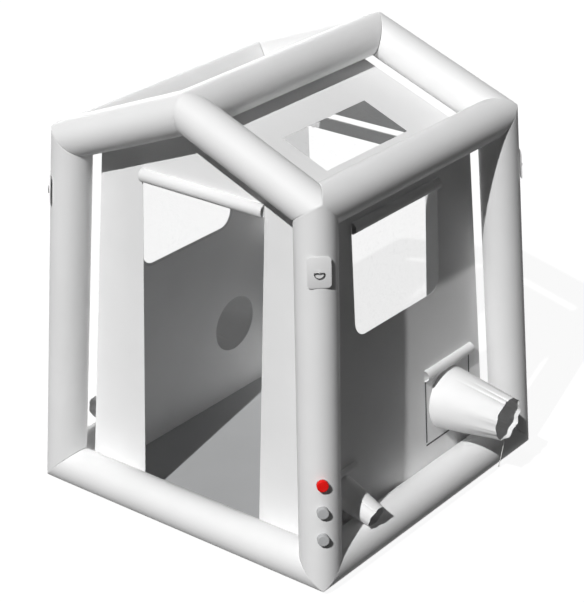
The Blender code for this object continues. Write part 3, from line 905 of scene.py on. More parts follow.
@dataclass
class AirBeams:
    """The frame's inflated tubes, mitred and welded at its corners."""

    shape: TentShape
    finishes: Finishes
    sides: int = 96
    pinch: float = 0.0016
    pinch_reach: float = 0.004
    pucker: float = 0.0011
    pucker_reach: float = 0.055
    pucker_round: float = 9.0
    pucker_along: tuple[float, float] = (3.0, 0.4)
    weld_rows: tuple[float, ...] = (0.0, 0.0015, 0.004, 0.008, 0.012)
    cloth_rows: tuple[float, ...] = (0.014, 0.025, 0.045, 0.08)
    step: float = 0.11

    def directions(self, name: str, axis: Vector) -> list[Vector]:
        """Works out the lines along a beam's skin.

        Args:
            name: The beam's node.
            axis: The beam's direction.

        Returns:
            Directions round the beam: even ones, and those of the creases in its mitres.
        """
        ends = self.shape.beams[name]
        across = axis.orthogonal().normalized()
        beside = axis.cross(across)
        angles = [math.tau * index / self.sides for index in range(self.sides)]
        for corner, inward in zip(ends, (axis, -axis)):
            first, second = (other / (1 - inward.dot(other)) for other in self.shape.neighbours(corner, name))
            # The mitre has a crease where both neighbours cut the skin equally far up
            crease = axis.cross(first - second)
            angle = math.atan2(crease.dot(beside), crease.dot(across)) % math.tau
            for special in (angle, (angle + math.pi) % math.tau):
                nearest = min(range(len(angles)), key=lambda index: abs(angles[index] - special))
                angles[nearest] = special
        return [across * math.cos(angle) + beside * math.sin(angle) for angle in sorted(angles)]

    def start(self, axis: Vector, others: list[Vector], direction: Vector, radius: float) -> float:
        """How far along its axis a beam's skin starts, in one direction across it."""
        mitres = (radius * direction.dot(other) / (1 - axis.dot(other)) for other in others)
        return self.shape.gap + max(mitres)

    def dent(self, away: float, where: Vector) -> float:
        """Works out how far the skin is drawn in near a mitre.

        Args:
            away: The distance from the mitre.
            where: The place in the noise that makes the puckers uneven.

        Returns:
            The depth of the weld's pinch and of the puckers behind it.
        """
        fade = math.exp(-away / self.pucker_reach)
        pinch = self.pinch * math.exp(-((away / self.pinch_reach) ** 2))
        pucker = self.pucker * (0.5 + noise.noise(where) * fade) * fade
        return pinch + pucker * (1 - math.exp(-away / self.pinch_reach))

    def tube(self, name: str) -> bpy.types.Object:
        """Builds one beam.

        Args:
            name: The beam's node.

        Returns:
            A tube with puckers and a welded edge at its mitres.
        """
        corners = self.shape.beams[name]
        low, high = (self.shape.corners[corner] for corner in corners)
        axis, length = (high - low).normalized(), (high - low).length
        near, far = (self.shape.neighbours(corner, name) for corner in corners)
        ways = self.directions(name, axis)
        radius, inside = self.shape.beam_radius, self.shape.beam_radius - self.shape.beam_wall
        outer, inner = ([(self.start(axis, near, way, reach), length - self.start(-axis, far, way, reach))
                         for way in ways] for reach in (radius, inside))
        edge, (rate, start) = self.weld_rows + self.cloth_rows, self.pucker_along
        middle = max(2, round(length / self.step))
        stations = [(0, offset) for offset in edge]
        stations += [(step / middle, edge[-1] * (1 - 2 * step / middle)) for step in range(1, middle)]
        stations += [(1, -offset) for offset in reversed(edge)]
        rows, welds = [], []
        for share, offset in stations:
            row = []
            for way, (begin, stop) in zip(ways, outer):
                along = begin + share * (stop - begin) + offset
                where = way * self.pucker_round + axis * (rate * share + start)
                dent = self.dent(min(along - begin, stop - along), where)
                row.append(low + axis * along + way * (radius - dent))
            rows.append(row)
            welds.append(1.0 if share in (0, 1) and abs(offset) <= self.weld_rows[-1] else 0.0)
        for end in (1, 0):
            rows.append([low + axis * span[end] + way * (inside - self.pinch)
                         for way, span in zip(ways, inner)])
            welds.append(0.0)
        form = Form()
        form.lattice(rows, loop=True, welds=welds)
        return form.piece(f"{name}_cloth", self.finishes.of[Slot.BEAM])

    def build(self) -> None:
        """Builds every beam."""
        for name in self.shape.beams:
            add_piece(self.tube(name), Slot.BEAM, name)


# Inner tent


@dataclass(frozen=True)
class Opening:
    """An opening in a panel: its outline, and the box round it that stays flat."""

    outline: Outline
    keep: tuple[float, float, float, float]


@dataclass
class InnerTent:
    """Panels of coated cloth with their doorways, windows, skylights and sleeve openings."""

    shape: TentShape
    finishes: Finishes
    film: float = 0.0008
    film_margin: float = 0.020
    door_width: float = 0.920
    door_sill: float = 0.150
    door_below_eave: float = 0.165
    back_drop: float = 0.132
    loop_width: float = 0.020
    loop_cloth: float = 0.0012
    loop_from_end: float = 0.035
    loop_tail: float = 0.060
    loop_bend: float = 0.010
    loop_slack: float = 0.006
    loop_tuck: float = 0.002
    loop_arc: tuple[float, float] = (20.0, 160.0)
    loop_steps: int = 10
    window_width: float = 0.864
    window_height: float = 0.694
    window_below_eave: float = 0.308
    window_corner: float = 0.100
    skylight_length: float = 0.796
    skylight_width: float = 0.343
    skylight_from_ridge: float = 0.302
    binding: float = 0.022
    binding_cloth: float = 0.0007
    binding_under_roll: float = 0.025
    flat_beside: float = 0.030
    flat_over_door: float = 0.100
    flat_over_window: float = 0.060
    flat_round_sleeve: float = 0.020
    grid: float = 0.035
    grid_middle: float = 1 / 2.2
    cut_reach: float = 0.050
    sag: float = 0.0026
    calm: float = 0.16
    swells: tuple[float, float] = (2.1, 1.5)
    folds: tuple[float, float] = (7.0, 3.5)
    fold_share: float = 0.25
    fold_seed: float = 5.0
    letter_seed: float = 1.7
    snap: float = 1e-6

    def head(self, face: str, below_eave: float) -> float:
        """Distance up a wall of an opening's top edge."""
        return self.shape.up_face(face, self.shape.eave_height - below_eave)

    def ripple(self, x: float, y: float, seed: float, edges: list[tuple[Vector, float]],
               keeps: list[tuple[float, float, float, float]]) -> float:
        """Works out how far the cloth sags in at a point of a panel.

        Args:
            x: The point's place across the panel.
            y: Its place up the panel.
            seed: What sets this panel's ripples apart.
            edges: Normals and distances of the panel's edges.
            keeps: Boxes in which the cloth stays flat.

        Returns:
            The sag in metres.
        """
        point = Vector((x, y, 0))
        room = min(distance - normal.dot(point) for normal, distance in edges)
        for left, right, bottom, top in keeps:
            outside = Vector((max(left - x, 0, x - right), max(bottom - y, 0, y - top)))
            room = min(room, outside.length)
        swell = 0.5 + 0.5 * noise.noise(Vector((x * self.swells[0], y * self.swells[1], seed)))
        fold = noise.noise(Vector((x * self.folds[0], y * self.folds[1], seed + self.fold_seed)))
        return self.sag * smooth_step(room / self.calm) * (swell + self.fold_share * fold)

    def edges(self, face: str) -> list[tuple[Vector, float]]:
        """Finds where a panel meets its neighbours.

        Args:
            face: The frame's face that it lines.

        Returns:
            The normal of each edge in the panel's plane, and its distance from the panel's origin.
        """
        shape, matrix = self.shape, self.shape.matrix(face)
        inverse, turn = matrix.inverted(), matrix.to_3x3().inverted()
        found = []
        for other in shape.faces:
            if other == face:
                continue
            # The mitre plane between the two faces, moved in by half the gap
            apart = shape.normal(other) - shape.normal(face)
            distance = shape.offset(other) - shape.offset(face) - shape.gap * apart.length / 2
            through = inverse @ (apart * (distance / apart.length_squared))
            way = turn @ apart
            flat = Vector((way.x, way.y, 0))
            found.append((flat.normalized(), way.dot(through) / flat.length))
        return found

    def panel(self, face: str, node: str, slot: Slot, openings: Sequence[Opening]) -> None:
        """Builds one panel.

        Args:
            face: The frame's face that it lines.
            node: Its CAD node.
            slot: The record's slot.
            openings: The openings through it.
        """
        matrix, edges = self.shape.matrix(face), self.edges(face)
        reach = self.shape.foot_span + self.shape.ridge_height
        standing = not face.startswith(("floor", "roof"))
        middle, cells = reach * self.grid_middle * standing, round(reach / self.grid)
        form = Form()
        bmesh.ops.create_grid(form.mesh, x_segments=cells, y_segments=cells, size=reach / 2,
                              matrix=Matrix.Translation((0, middle, 0)))
        for normal, distance in edges:
            whole = form.mesh.verts[:] + form.mesh.edges[:] + form.mesh.faces[:]
            bmesh.ops.bisect_plane(form.mesh, geom=whole, clear_outer=True, dist=self.snap,
                                   plane_co=normal * distance, plane_no=normal)
        keeps = [opening.keep for opening in openings]
        for vert in form.mesh.verts:
            vert.co.z = -self.ripple(vert.co.x, vert.co.y, len(node) * self.letter_seed, edges, keeps)
        form.map_flat()
        bmesh.ops.recalc_face_normals(form.mesh, faces=form.mesh.faces)
        if sum(face.normal.z for face in form.mesh.faces) < 0:
            bmesh.ops.reverse_faces(form.mesh, faces=form.mesh.faces)
        bmesh.ops.solidify(form.mesh, geom=form.mesh.faces[:], thickness=self.shape.cloth)
        piece = form.piece(f"{node}_cloth", self.finishes.of[slot], matrix)
        if openings:
            cut_openings(piece, [make_cutter(f"{node}_cut_{index}", opening.outline, self.cut_reach,
                                             self.finishes.of[slot], matrix)
                                 for index, opening in enumerate(openings)])
        add_piece(piece, slot, node)
        inverse = matrix.inverted()
        points = [inverse @ vert.co for vert in piece.data.vertices]
        width, height = (max(point[axis] for point in points) - min(point[axis] for point in points)
                         for axis in (0, 1))
        area = min(sum(polygon.area for polygon in piece.data.polygons) / 2, width * height)

    def middle_opening(self, half: float, bottom: float, top: float, flat_over: float,
                       corner: float = 0.0) -> Opening:
        """Lays out an opening in the middle of a panel.

        Args:
            half: Half its width.
            bottom: Its lower edge.
            top: Its upper edge.
            flat_over: How far the cloth stays flat above it.
            corner: The radius of its lower corners.

        Returns:
            The opening.
        """
        beside = self.flat_beside
        return Opening(rounded_box(-half, half, bottom, top, corner),
                       (-half - beside, half + beside, bottom - beside, top + flat_over))

    def bind(self, name: str, face: str, half: float, bottom: float, top: float,
             corner: float = 0.0) -> None:
        """Adds the binding welded down both sides of an opening and along its foot.

        Args:
            name: The binding's name.
            face: The face that it is on.
            half: Half the opening's width.
            bottom: Its lower edge.
            top: Where the binding ends, under the roll.
            corner: The radius of the opening's lower corners.
        """
        lines = []
        for outset in (0.0, self.binding):
            outline = rounded_box(-half - outset, half + outset, bottom - outset, top,
                                  corner + outset if corner else 0.0)
            in_corner = len(outline) // 2 - 1
            turned = outline[-in_corner:] + outline[:in_corner]
            lines.append([(turned[0][0], top), *turned, (turned[-1][0], top)])
        inner, outer = lines
        low, high = self.shape.gap, self.shape.gap + self.binding_cloth
        form = Form()
        verts = form.lattice([[Vector((x, y, height)) for x, y in line]
                              for line, height in ((inner, low), (inner, high), (outer, high), (outer, low))],
                             ring=False, loop=True)
        form.cap([row[0] for row in verts])
        form.cap([row[-1] for row in verts])
        add_piece(form.piece(name, self.finishes.of[Slot.PANEL], self.shape.matrix(face)), Slot.PANEL)

    def sheet_of_film(self, node: str, face: str, half: float, bottom: float, top: float,
                      corner: float = 0.0) -> None:
        """Adds the clear film welded inside an opening.

        Args:
            node: Its CAD node.
            face: The face that it is on.
            half: Half the opening's width.
            bottom: The opening's lower edge.
            top: The opening's upper edge.
            corner: The radius of the opening's lower corners.
        """
        margin, depth = self.film_margin, self.shape.cloth + self.shape.gap
        low = corner + margin if corner else 0.0
        form = Form()
        outline = rounded_box(-half - margin, half + margin, bottom - margin, top + margin, low)
        form.prism(outline, -depth - self.film, -depth)
        form.map_flat()
        piece = form.piece(f"{node}_sheet", self.finishes.of[Slot.FILM], self.shape.matrix(face))
        add_piece(piece, Slot.FILM, node)
        width, height = 2 * (half + margin), top - bottom + 2 * margin
        area = width * height - (4 - math.pi) / 2 * low ** 2

    def loops(self, face: str, head: float, roll: float, rolls: Rolls) -> None:
        """Adds the webbing loops in which a rolled curtain hangs by its ends.

        Args:
            face: The face that they are on.
            head: Distance up the face of the doorway's head.
            roll: Distance up the face of the roll's middle.
            rolls: The sizes of the rolls.
        """
        gap, cloth, radius = self.shape.gap, self.loop_cloth, rolls.door
        first, last = self.loop_arc
        angles = [math.radians(first + (last - first) * step / self.loop_steps)
                  for step in range(self.loop_steps + 1)]
        route = [(head + self.loop_tail, gap), (head + self.loop_bend, gap),
                 (roll + radius + self.loop_slack, gap)]
        route += [(roll + (radius + cloth) * math.cos(angle),
                   rolls.back_share * radius + (radius + cloth) * math.sin(angle)) for angle in angles]
        route.append((roll - radius - self.loop_tuck, gap))
        across = Vector((1, 0, 0))
        side = across * (self.loop_width / 2)
        for way in Side:
            middle = way.value * (self.door_width / 2 - self.loop_from_end)
            rows = []
            for index, (y, z) in enumerate(route):
                before, after = route[max(index - 1, 0)], route[min(index + 1, len(route) - 1)]
                along = Vector((0, after[0] - before[0], after[1] - before[1])).normalized()
                out = across.cross(along) * cloth
                here = Vector((middle, y, z))
                rows.append([here - side, here + side, here + side - out, here - side - out])
            form = Form()
            form.body(rows)
            piece = form.piece(f"curtain_loop_{face}_{way.word}", self.finishes.of[Slot.PANEL],
                               self.shape.matrix(face))
            add_piece(piece, Slot.PANEL)

    def gable(self, end: End, rolls: Rolls) -> None:
        """Builds a gable with its doorway and rolled curtain, which hangs lower at the back.

        Args:
            end: The gable.
            rolls: The maker of its curtain.
        """
        face, half = end.word, self.door_width / 2
        sill, roll = self.shape.up_face(face, self.door_sill), self.head(face, self.door_below_eave)
        head = roll - rolls.door
        doorway = self.middle_opening(half, sill, head, self.flat_over_door)
        self.panel(face, f"gable_{face}", Slot.PANEL, [doorway])
        self.bind(f"doorway_binding_{face}", face, half, sill, head)
        if end is End.BACK:
            roll -= self.back_drop
            self.loops(face, head, roll, rolls)
        rolls.roll(f"door_roll_{face}", face, (0, roll), half, rolls.door, head - sill)

    def wall(self, side: Side, rolls: Rolls, sleeves: Sleeves) -> None:
        """Builds a side wall with its window and the openings for its sleeves.

        Args:
            side: The wall.
            rolls: The maker of the window's cover.
            sleeves: The sizes and places of the sleeves.
        """
        face, half = side.word, self.window_width / 2
        head = self.head(face, self.window_below_eave)
        sill = head - self.window_height
        openings = [self.middle_opening(half, sill, head, self.flat_over_window, self.window_corner)]
        for sleeve in (sleeves.air, sleeves.hose):
            x, y = sleeves.centre(sleeve, side)
            reach = sleeve.radius + sleeve.margin + self.flat_round_sleeve
            openings.append(Opening(circle((x, y), sleeve.radius - sleeves.cloth - sleeves.seat),
                                    (x - reach, x + reach, y - reach, y + reach + 2 * sleeve.roll)))
        self.panel(face, f"wall_{face}", Slot.PANEL, openings)
        self.bind(f"window_binding_{face}", face, half, sill, head - self.binding_under_roll,
                  self.window_corner)
        self.sheet_of_film(f"window_film_{face}", face, half, sill, head, self.window_corner)
        rolls.roll(f"window_roll_{face}", face, (0, head), half, rolls.window, head - sill)

    def roof(self, side: Side) -> None:
        """Builds a roof slope with its skylight.

        Args:
            side: The side that it slopes to.
        """
        face, half = f"roof_{side.word}", self.skylight_length / 2
        top = -self.skylight_from_ridge
        bottom = top - self.skylight_width
        skylight = self.middle_opening(half, bottom, top, self.flat_beside)
        self.panel(face, f"roof_panel_{side.word}", Slot.PANEL, [skylight])
        self.sheet_of_film(f"skylight_film_{side.word}", face, half, bottom, top)

    def build(self, rolls: Rolls, sleeves: Sleeves) -> None:
        """Builds the whole inner tent.

        Args:
            rolls: The maker of its rolled covers.
            sleeves: The sizes and places of its sleeves.
        """
        self.panel("floor", "floor_sheet", Slot.FLOOR, [])
        for end in End:
            self.gable(end, rolls)
        for side in Side:
            self.wall(side, rolls, sleeves)
            self.roof(side)


# Rolled covers


@dataclass
class Rolls:
    """Curtains and covers rolled up above their openings, flat against the panel behind."""

    shape: TentShape
    finishes: Finishes
    door: float = 0.044
    window: float = 0.038
    steps: int = 40
    pitch: float = 0.0008
    core: float = 0.22
    cloth: float = 0.0005
    seam_angle: float = math.radians(150)
    back_share: float = 0.42
    sharpness: int = 10
    take_up: float = 1.04
    stations: int = 26
    slack: float = 0.0009
    slack_along: float = 6.0
    slack_round: float = 1.2
    fray: float = 0.002
    fray_pitch: float = 0.11
    letter_seed: float = 0.37

    def reach(self, angle: float, radius: float) -> float:
        """Works out a roll's outside: a half circle with a flat back and eased corners.

        Args:
            angle: The way round the roll, from straight out of the tent.
            radius: The roll's radius.

        Returns:
            The distance from the roll's middle to its outside.
        """
        middle = self.back_share * radius
        reach = -middle * math.cos(angle) + math.sqrt(radius ** 2 - (middle * math.sin(angle)) ** 2)
        if math.cos(angle) >= 0:
            return reach
        back = -middle / math.cos(angle)
        # The nearer of the two, with the corner between them eased
        return (reach ** -self.sharpness + back ** -self.sharpness) ** (-1 / self.sharpness)

    def turns(self, radius: float, flap: float) -> int:
        """Counts the steps round a roll that take up its cloth.

        Args:
            radius: The roll's radius.
            flap: The length of cloth that is rolled up.

        Returns:
            The number of steps.
        """
        length, step, share = 0.0, 0, 1.0
        while length < flap and share > self.core:
            angle = self.seam_angle - math.tau * step / self.steps
            share = 1 - self.pitch * step / self.steps / radius
            length += self.reach(angle, radius) * share * math.tau / self.steps * self.take_up
            step += 1
        return step

    def roll(self, node: str, face: str, centre: tuple[float, float], half: float, radius: float,
             flap: float) -> None:
        """Builds one rolled cover.

        Args:
            node: Its CAD node.
            face: The face of the tent that it lies on.
            centre: The middle of the roll on the face.
            half: Half its length.
            radius: Its radius.
            flap: The length of cloth that is rolled up.
        """
        steps, wall = self.turns(radius, flap), self.shape.gap
        middle = wall + self.back_share * radius
        seed = sum(ord(letter) for letter in node) * self.letter_seed
        section = [(step, False) for step in range(steps + 1)]
        section += [(step, True) for step in range(steps, -1, -1)]
        rows = []
        for station in range(self.stations + 1):
            share = station / self.stations
            x = centre[0] - half + 2 * half * share
            row = []
            for step, inside in section:
                angle = self.seam_angle - math.tau * step / self.steps
                depth = self.pitch * step / self.steps + (self.cloth if inside else 0.0)
                around = Vector((math.cos(angle), math.sin(angle))) * self.slack_round
                loose = noise.noise(Vector((share * self.slack_along + seed, *around)))
                reach = self.reach(angle, radius) * (1 - depth / radius) - self.slack * (0.5 + loose)
                fray = 0.0
                if station in (0, self.stations):
                    fray = self.fray * abs(noise.noise(Vector((step * self.fray_pitch, seed, share))))
                row.append(Vector((x - math.copysign(fray, share - 0.5), centre[1] + reach * math.sin(angle),
                                   max(middle + reach * math.cos(angle), wall))))
            rows.append(row)
        form = Form()
        form.body(rows)
        piece = form.piece(f"{node}_cloth", self.finishes.of[Slot.PANEL], self.shape.matrix(face), sharp=50)
        add_piece(piece, Slot.PANEL, node)
        2 * half


# Sleeves


@dataclass(frozen=True)
class Crease:
    """A fold that runs back from a sleeve's mouth, at an angle in degrees."""

    angle: float
    depth: float
    width: float
    reach: float


@dataclass(frozen=True)
class Sleeve:
    """Sizes of one kind of sleeve, and of the cover rolled up over it."""

    kind: str
    radius: float
    mouth: float
    length: float
    droop: float
    folds: int
    height: float
    from_corner: float
    toward: End
    margin: float
    roll: float
    flap: float
    ripple: float
    creases: tuple[Crease, ...]


@dataclass
class Sleeves:
    """Tapered cloth sleeves in the side walls, with their rolled covers, hook tapes and drawcords."""

    shape: TentShape
    finishes: Finishes
    air: Sleeve = Sleeve(
        "air", radius=0.205, mouth=0.138, length=0.450, droop=math.radians(1.5), folds=9, height=0.553,
        from_corner=0.521, toward=End.BACK, margin=0.0475, roll=0.039, flap=0.49, ripple=0.72, creases=(
            Crease(108, 0.0095, 7.0, 0.95), Crease(94, 0.0075, 4.0, 0.80), Crease(165, 0.0022, 4.0, 0.35),
            Crease(196, 0.0032, 6.0, 0.62), Crease(214, 0.0022, 4.0, 0.45), Crease(236, 0.0035, 7.0, 0.60),
            Crease(20, 0.0040, 5.0, 0.60), Crease(-42, 0.0055, 4.0, 0.70), Crease(-60, 0.0030, 4.0, 0.45)))
    hose: Sleeve = Sleeve(
        "hose", radius=0.100, mouth=0.071, length=0.258, droop=math.radians(19.7), folds=6, height=0.396,
        from_corner=0.408, toward=End.FRONT, margin=0.024, roll=0.025, flap=0.25, ripple=0.35, creases=(
            Crease(122, 0.0062, 9.0, 0.98), Crease(232, 0.0065, 9.0, 0.98), Crease(172, 0.0012, 7.0, 0.60),
            Crease(40, 0.0030, 6.0, 0.65), Crease(-35, 0.0035, 6.0, 0.60)))
    cloth: float = 0.0012
    seat: float = 0.008
    fold_depth: float = 0.030
    fold_drift: float = 0.8
    crease_edge: float = 3.0
    lip_wave: float = 0.006
    sides: int = 288
    rows: int = 40
    hem: float = 0.017
    hem_cloth: float = 0.0007
    hem_rows: tuple[float, float] = (0.004, 0.010)
    lip_row: float = 0.994
    weld_share: float = 0.03
    lining_step: int = 3
    above: float = 0.003
    tape_width: float = 0.010
    tape_cloth: float = 0.0014
    tape_inset: float = 0.007
    tape_gap: float = 0.024
    tape_corner: float = 0.002
    cord_radius: float = 0.0025
    cord_from_lip: float = 0.012
    cord_samples: int = 3
    cord_sides: int = 4
    knot_length: float = 0.014
    knot_strand: float = 0.82
    knot_radius: float = 0.0023
    knot_rise: float = 0.0040
    knot_lobes: tuple[float, float] = (1.25, 0.75)
    knot_steps: int = 72
    knot_sides: int = 10
    cord_route: tuple[tuple[float, float, float], ...] = (
        (0.000, 0.000, 0.000), (-0.002, -0.002, -0.020), (-0.006, -0.006, -0.052), (-0.010, -0.010, -0.088),
        (-0.014, -0.014, -0.127), (-0.019, -0.019, -0.162), (-0.023, -0.024, -0.190))

    def centre(self, sleeve: Sleeve, side: Side) -> tuple[float, float]:
        """Middle of a sleeve on its wall."""
        across = side.value * sleeve.toward.value * (self.shape.foot_span / 2 - sleeve.from_corner)
        return across, self.shape.up_face(side.word, sleeve.height)

    def dent(self, sleeve: Sleeve, degrees: float, share: float) -> float:
        """Works out how deep a sleeve's creases are at a place.

        Args:
            sleeve: The kind of sleeve.
            degrees: The way round it.
            share: The share of the way to its mouth.

        Returns:
            The depth.
        """
        dent = 0.0
        for crease in sleeve.creases:
            away = (degrees - crease.angle + 180) % 360 - 180
            grown = smooth_step((share - 1 + crease.reach) / crease.reach)
            # A crease has a steep edge, and runs out slowly on its other side
            lap = away / crease.width if away > 0 else (away / crease.width * self.crease_edge) ** 2
            dent += crease.depth * grown * math.exp(-lap)
        return dent

    def point(self, sleeve: Sleeve, side: Side, angle: float, share: float, inset: float = 0.0,
              creased: bool = True) -> Vector:
        """Works out a point on a sleeve.

        Args:
            sleeve: The kind of sleeve.
            side: The wall that it is on.
            angle: The way round it.
            share: The share of the way to its mouth.
            inset: The distance inside its outer skin.
            creased: Whether its creases are cut in.

        Returns:
            The point, in the frame of its wall.
        """
        matrix = self.shape.matrix(side.word)
        out = matrix.col[2].xyz
        level = Vector((out.x, out.y, 0)).normalized()
        heading = matrix.to_3x3().inverted() @ (level * math.cos(sleeve.droop) - UP * math.sin(sleeve.droop))
        across = Vector((1, 0, 0))
        way = across * math.cos(angle) + heading.cross(across) * math.sin(angle)
        gather = sleeve.ripple * math.cos(sleeve.folds * angle + self.fold_drift * math.sin(2 * angle))
        dent = self.dent(sleeve, math.degrees(angle) * side.value, share) if creased else 0.0
        # From the round foot straight to the mouth, with the gathers growing on the way
        base = Vector((math.cos(angle), math.sin(angle), 0)) * (sleeve.radius - inset)
        lip = way * (sleeve.mouth * (1 + self.fold_depth * gather) - inset)
        lip += heading * (sleeve.length + self.lip_wave * gather)
        plain = way * (sleeve.mouth - inset) + heading * sleeve.length
        skin = base.lerp(plain, share).lerp(base.lerp(lip, share), share) - way * dent
        return Vector((*self.centre(sleeve, side), self.shape.gap)) + skin

    def tube(self, sleeve: Sleeve, side: Side) -> None:
        """Builds a sleeve with its gathers, creases and drawn hem.

        Args:
            sleeve: The kind of sleeve.
            side: The wall that it is on.
        """
        hem = 1 - self.hem / sleeve.length
        body = [hem * (index / self.rows) for index in range(self.rows + 1)]
        band = [*(hem + row for row in self.hem_rows), (hem + 1) / 2, self.lip_row, 1.0]
        skin = [(share, 0.0) for share in body] + [(share, -self.hem_cloth) for share in band]
        skin += [(share, self.cloth) for share in reversed((body + band)[::self.lining_step] + [1.0])]
        welds = [1.0 if share < self.weld_share else 0.0 for share, _ in skin]
        angles = [side.value * math.tau * step / self.sides for step in range(self.sides)]
        form = Form()
        form.lattice([[self.point(sleeve, side, angle, share, inset) for angle in angles]
                      for share, inset in skin], loop=True, welds=welds)
        node = f"{sleeve.kind}_sleeve_{side.word}"
        piece = form.piece(f"{node}_cloth", self.finishes.of[Slot.PANEL], self.shape.matrix(side.word),
                           sharp=60)
        add_piece(piece, Slot.PANEL, node)

    def tape(self, side: Side) -> None:
        """Builds the three hook strips that hold the air sleeve's cover.

        Args:
            side: The wall that they are on.
        """
        x, y = self.centre(self.air, side)
        half, width = self.air.radius + self.air.margin, self.tape_width
        left, right, foot = x - half + self.tape_inset, x + half - self.tape_inset, y - half + self.tape_inset
        side_foot, side_top = foot + self.tape_gap, y + self.air.radius + self.above - self.shape.gap
        form = Form()
        for strip in ((left, left + width, side_foot, side_top), (right - width, right, side_foot, side_top),
                      (left, right, foot, foot + width)):
            outline = rounded_box(*strip, self.tape_corner, self.tape_corner, steps=3)
            form.prism(outline, self.shape.gap, self.shape.gap + self.tape_cloth)
        form.map_flat()
        piece = form.piece(f"hook_strips_{side.word}", self.finishes.of[Slot.TAPE],
                           self.shape.matrix(side.word))
        add_piece(piece, Slot.TAPE, f"cover_tape_{side.word}")

    def route(self, side: Side) -> list[Vector]:
        """Lays the drawcord: one smooth curve through its stops.

        Args:
            side: The wall that it is on.

        Returns:
            The points of its middle line, from the lip down.
        """
        share = 1 - self.cord_from_lip / self.air.length
        lip = self.shape.matrix(side.word) @ self.point(self.air, side, -math.pi / 2, share, creased=False)
        lip -= UP * (self.cord_radius / 4 + self.shape.gap)
        stops = [lip + Vector((side.value * x, y, z)) for x, y, z in self.cord_route]
        padded = [stops[0] * 2 - stops[1], *stops, stops[-1] * 2 - stops[-2]]
        line = []
        for before, here, there, after in zip(padded, padded[1:], padded[2:], padded[3:]):
            for step in range(self.cord_samples):
                # At each stop the curve runs the way from the stop before to the one after
                t = step / self.cord_samples
                line.append(0.5 * (2 * here + (there - before) * t
                                   + (2 * before - 5 * here + 4 * there - after) * t ** 2
                                   + (3 * here - before - 3 * there + after) * t ** 3))
        line.append(stops[-1])
        return line

    def knot(self, side: Side, top: Vector) -> bpy.types.Object:
        """Builds the overhand knot at the cord's end.

        Args:
            side: The wall that the cord is on.
            top: The cord's last point, which the knot hangs below.

        Returns:
            The knot.
        """
        middle, (width, sway) = top - UP * (self.knot_length / 2), self.knot_lobes
        path = []
        for step in range(self.knot_steps):
            # Twice round the middle line, and three times in, out, up and down
            t = math.tau * step / self.knot_steps
            ring = self.knot_radius * (width + sway * math.cos(3 * t))
            path.append(middle + Vector((ring * math.cos(2 * t), ring * math.sin(2 * t),
                                         self.knot_rise * math.sin(3 * t))))
        form = Form()
        form.wire(path, self.cord_radius * self.knot_strand, self.knot_sides)
        piece = form.piece(f"cord_knot_{side.word}", self.finishes.of[Slot.CORD], sharp=80)
        return add_piece(piece, Slot.CORD)

    def cord(self, side: Side) -> None:
        """Builds the drawcord that hangs from the air sleeve's mouth.

        Args:
            side: The wall that it is on.
        """
        line = self.route(side)
        curve = bpy.data.curves.new(f"cord_line_{side.word}", "CURVE")
        curve.dimensions = "3D"
        curve.bevel_depth = self.cord_radius
        curve.bevel_resolution = self.cord_sides
        curve.use_fill_caps = True
        spline = curve.splines.new("POLY")
        spline.points.add(len(line) - 1)
        for point, place in zip(spline.points, line):
            point.co = (*place, 1)
        curve.materials.append(self.finishes.of[Slot.CORD])
        piece = bpy.data.objects.new(f"cord_{side.word}", curve)
        bpy.context.collection.objects.link(piece)
        add_piece(piece, Slot.CORD, f"drawcord_{side.word}")
        length = sum((after - before).length for before, after in zip(line, line[1:]))
        self.knot(side, line[-1])

    def build(self, rolls: Rolls) -> None:
        """Builds both walls' sleeves and what belongs to them.

        Args:
            rolls: The maker of their rolled covers.
        """
        for side in Side:
            for sleeve in (self.air, self.hose):
                self.tube(sleeve, side)
                x, y = self.centre(sleeve, side)
                roll_middle = (x, y + sleeve.radius + sleeve.roll + self.above)
                rolls.roll(f"{sleeve.kind}_cover_roll_{side.word}", side.word, roll_middle,
                           sleeve.radius + sleeve.margin, sleeve.roll, sleeve.flap)
            self.tape(side)
            self.cord(side)


# Tie-down points


